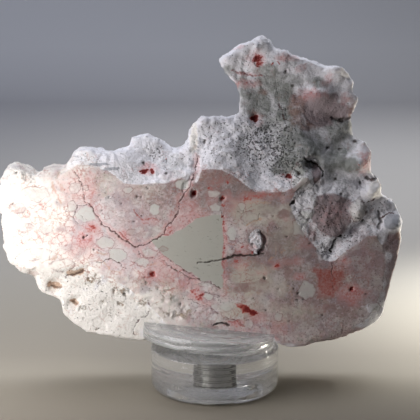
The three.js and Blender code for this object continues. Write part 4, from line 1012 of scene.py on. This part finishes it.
def bevel_ring(mesh, radius, height, offset, segments):
    """Rounds the circle of edges at that radius and height, in mm."""
    near = 0.02
    across, along, up = columns(mesh.vertices, "co").T / MM
    ring = (np.abs(np.hypot(across, along) - radius) < near) & (np.abs(up - height) < near)
    select_only(mesh, "edges", edges_between(mesh, ring))
    edit(bpy.ops.mesh.bevel, offset=offset * MM, segments=segments, affect="EDGES")


bevel_ring(base.data, BASE_RADIUS, 0, FOOT_ROUND, 8)
bevel_ring(base.data, BASE_RADIUS, BASE_HEIGHT, RIM_ROUND, 3)
bevel_ring(base.data, BORE_RADIUS, BASE_HEIGHT, BORE_ROUND, 2)

# A ring is scored in the underside.
normals = columns(base.data.polygons, "normal")
middles = columns(base.data.polygons, "center")
select_only(base.data, "polygons", (normals[:, 2] < -0.999) & (middles[:, 2] < 0.01 * MM))
for margin, step_up in [(BASE_RADIUS - FOOT_ROUND - RING_RADIUS, RING_DEPTH), (RING_WIDTH, -RING_DEPTH)]:
    edit(bpy.ops.mesh.inset, thickness=margin * MM)
    edit(bpy.ops.mesh.extrude_region_move, TRANSFORM_OT_translate={"value": (0, 0, step_up * MM)})
bpy.ops.object.shade_smooth_by_angle(angle=math.radians(35))
base.data.materials.append(turned_acrylic("clear_turned_acrylic", "#f2f2f0", 0.86, 0.035, 0.12))
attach(base, "root")
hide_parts("stand_base")

# ---------------------------------------------------------------- table, backdrop and lights
# A seamless sheet of paper that bends up behind the stand, under soft light: a near lamp at the left front,
# cool light from above, and a bright patch of table behind on the right.
SWEEP = (3, 1.6, 1.2)  # m, wide, deep and high
SWEEP_BEND = 0.12
bpy.ops.object.select_all(action="DESELECT")
bpy.ops.mesh.primitive_plane_add(size=1, location=(0, -0.25, -0.0001))
sweep = bpy.context.active_object
sweep.name = "paper_sweep"
sweep.scale = (SWEEP[0], SWEEP[1], 1)
bpy.ops.object.transform_apply()
at_back = columns(sweep.data.vertices, "co")[:, 1] > 0.5
select_only(sweep.data, "edges", edges_between(sweep.data, at_back))
edit(bpy.ops.mesh.extrude_region_move, TRANSFORM_OT_translate={"value": (0, 0, SWEEP[2])})
points = columns(sweep.data.vertices, "co")
select_only(sweep.data, "edges", edges_between(sweep.data, (points[:, 1] > 0.5) & (points[:, 2] < 0.1)))
edit(bpy.ops.mesh.bevel, offset=SWEEP_BEND, segments=16, affect="EDGES")
bpy.ops.object.shade_smooth()

# Matt grey paper with no shine. Its tone grows paler from the front to the back; the dark front before the
# stand is painted shadow, and just behind the stand it steps lighter, then darker.
paper = new_material("matt_grey_paper")
tree = paper.node_tree
where = add(tree, "ShaderNodeTexCoord", {}).outputs["Object"]
along = add(tree, "ShaderNodeSeparateXYZ", {0: where}).outputs[1]
back = add(tree, "ShaderNodeMapRange", {0: along, 1: -0.02, 2: 0.5, 3: 0, 4: 1})
paper_tone_and_painted_shadow = add(tree, "ShaderNodeValToRGB", {"Fac": back})
paper_tone_and_painted_shadow.color_ramp.elements[0].color = linear("#6e685d")
paper_tone_and_painted_shadow.color_ramp.elements[1].color = linear("#bab7b0")
for place, code in [(0.035, "#857f72"), (0.052, "#918b7e"), (0.078, "#8b8579"), (0.15, "#908b80"),
                    (0.3, "#94918b"), (0.6, "#9d9a95"), (0.88, "#9f9c98")]:
    paper_tone_and_painted_shadow.color_ramp.elements.new(place).color = linear(code)
sheet = add(tree, "ShaderNodeBsdfPrincipled", {"Base Color": paper_tone_and_painted_shadow, "Roughness": 0.9})
add(tree, "ShaderNodeOutputMaterial", {"Surface": sheet})
sweep.data.materials.append(paper)


def lamp(name, kind, place, aim, power, code, **settings):
    """A light at a place, pointed at another, in mm, with its power in watts and its colour."""
    data = bpy.data.lights.new(name, kind)
    data.energy = power
    data.color = linear(code)[:3]
    for key, value in settings.items():
        setattr(data, key, value)
    light = bpy.data.objects.new(name, data)
    bpy.context.scene.collection.objects.link(light)
    light.location = Vector(place) * MM
    light.rotation_euler = (Vector(aim) - Vector(place)).to_track_quat("-Z", "Y").to_euler()
    light.visible_camera = False
    light.visible_transmission = kind != "AREA"


lamp("near_left_lamp", "POINT", (-62, -45, 38), (0, 0, 30), 0.245, "#fffbfa", shadow_soft_size=0.038)
lamp("right_rim_softbox", "AREA", (120, 30, 4), (34, 4, 14), 0.15, "#fff8ea", size=0.02)
lamp("upper_left_softbox", "AREA", (-90, 15, 130), (0, 5, 40), 0.128, "#f0f2ff", size=0.26)
lamp("overhead_softbox", "AREA", (-120, 120, 360), (0, 10, 20), 0.26, "#eceffb", size=0.22)
lamp("front_fill", "AREA", (-260, -420, 260), (-20, 0, 40), 0.02, "#f2f2f4", size=0.3)
lamp("backdrop_light", "AREA", (-120, 180, 520), (-150, 560, 130), 0.8, "#d6e0ff", size=0.5,
     spread=math.radians(100))
lamp("right_table_light", "SPOT", (240, 180, 300), (96, 60, 0), 19.2, "#fbfbfa", spot_size=math.radians(22),
     spot_blend=1, shadow_soft_size=0.02)
lamp("back_table_softbox", "AREA", (130, 210, 360), (90, 185, 0), 0.45, "#f2f4fa", size=0.3,
     spread=math.radians(80))
lamp("left_table_softbox", "AREA", (-120, 130, 300), (-80, 80, 0), 0.035, "#f4f4f8", size=0.2,
     spread=math.radians(50))
world = bpy.data.worlds.new("soft_room")
bpy.context.scene.world = world
world.use_nodes = True
background = world.node_tree.nodes["Background"]
background.inputs["Color"].default_value = linear("#c9ccd6")
background.inputs["Strength"].default_value = 0.07
bpy.context.scene.view_settings.view_transform = "Standard"

# ---------------------------------------------------------------- camera
# The slice is seen from the front and from a little above: a 120 mm lens stands 275 mm in front of it and
# looks 12 degrees down.
camera = bpy.data.objects.new("camera", bpy.data.cameras.new("camera"))
bpy.context.scene.collection.objects.link(camera)
camera.location = Vector((-0.96, -275.1, 95.4)) * MM
camera.rotation_euler = (math.radians(78), 0, 0)
camera.data.sensor_width = 36
camera.data.lens = 120.4
camera.data.clip_start = 0.01
bpy.context.scene.camera = camera
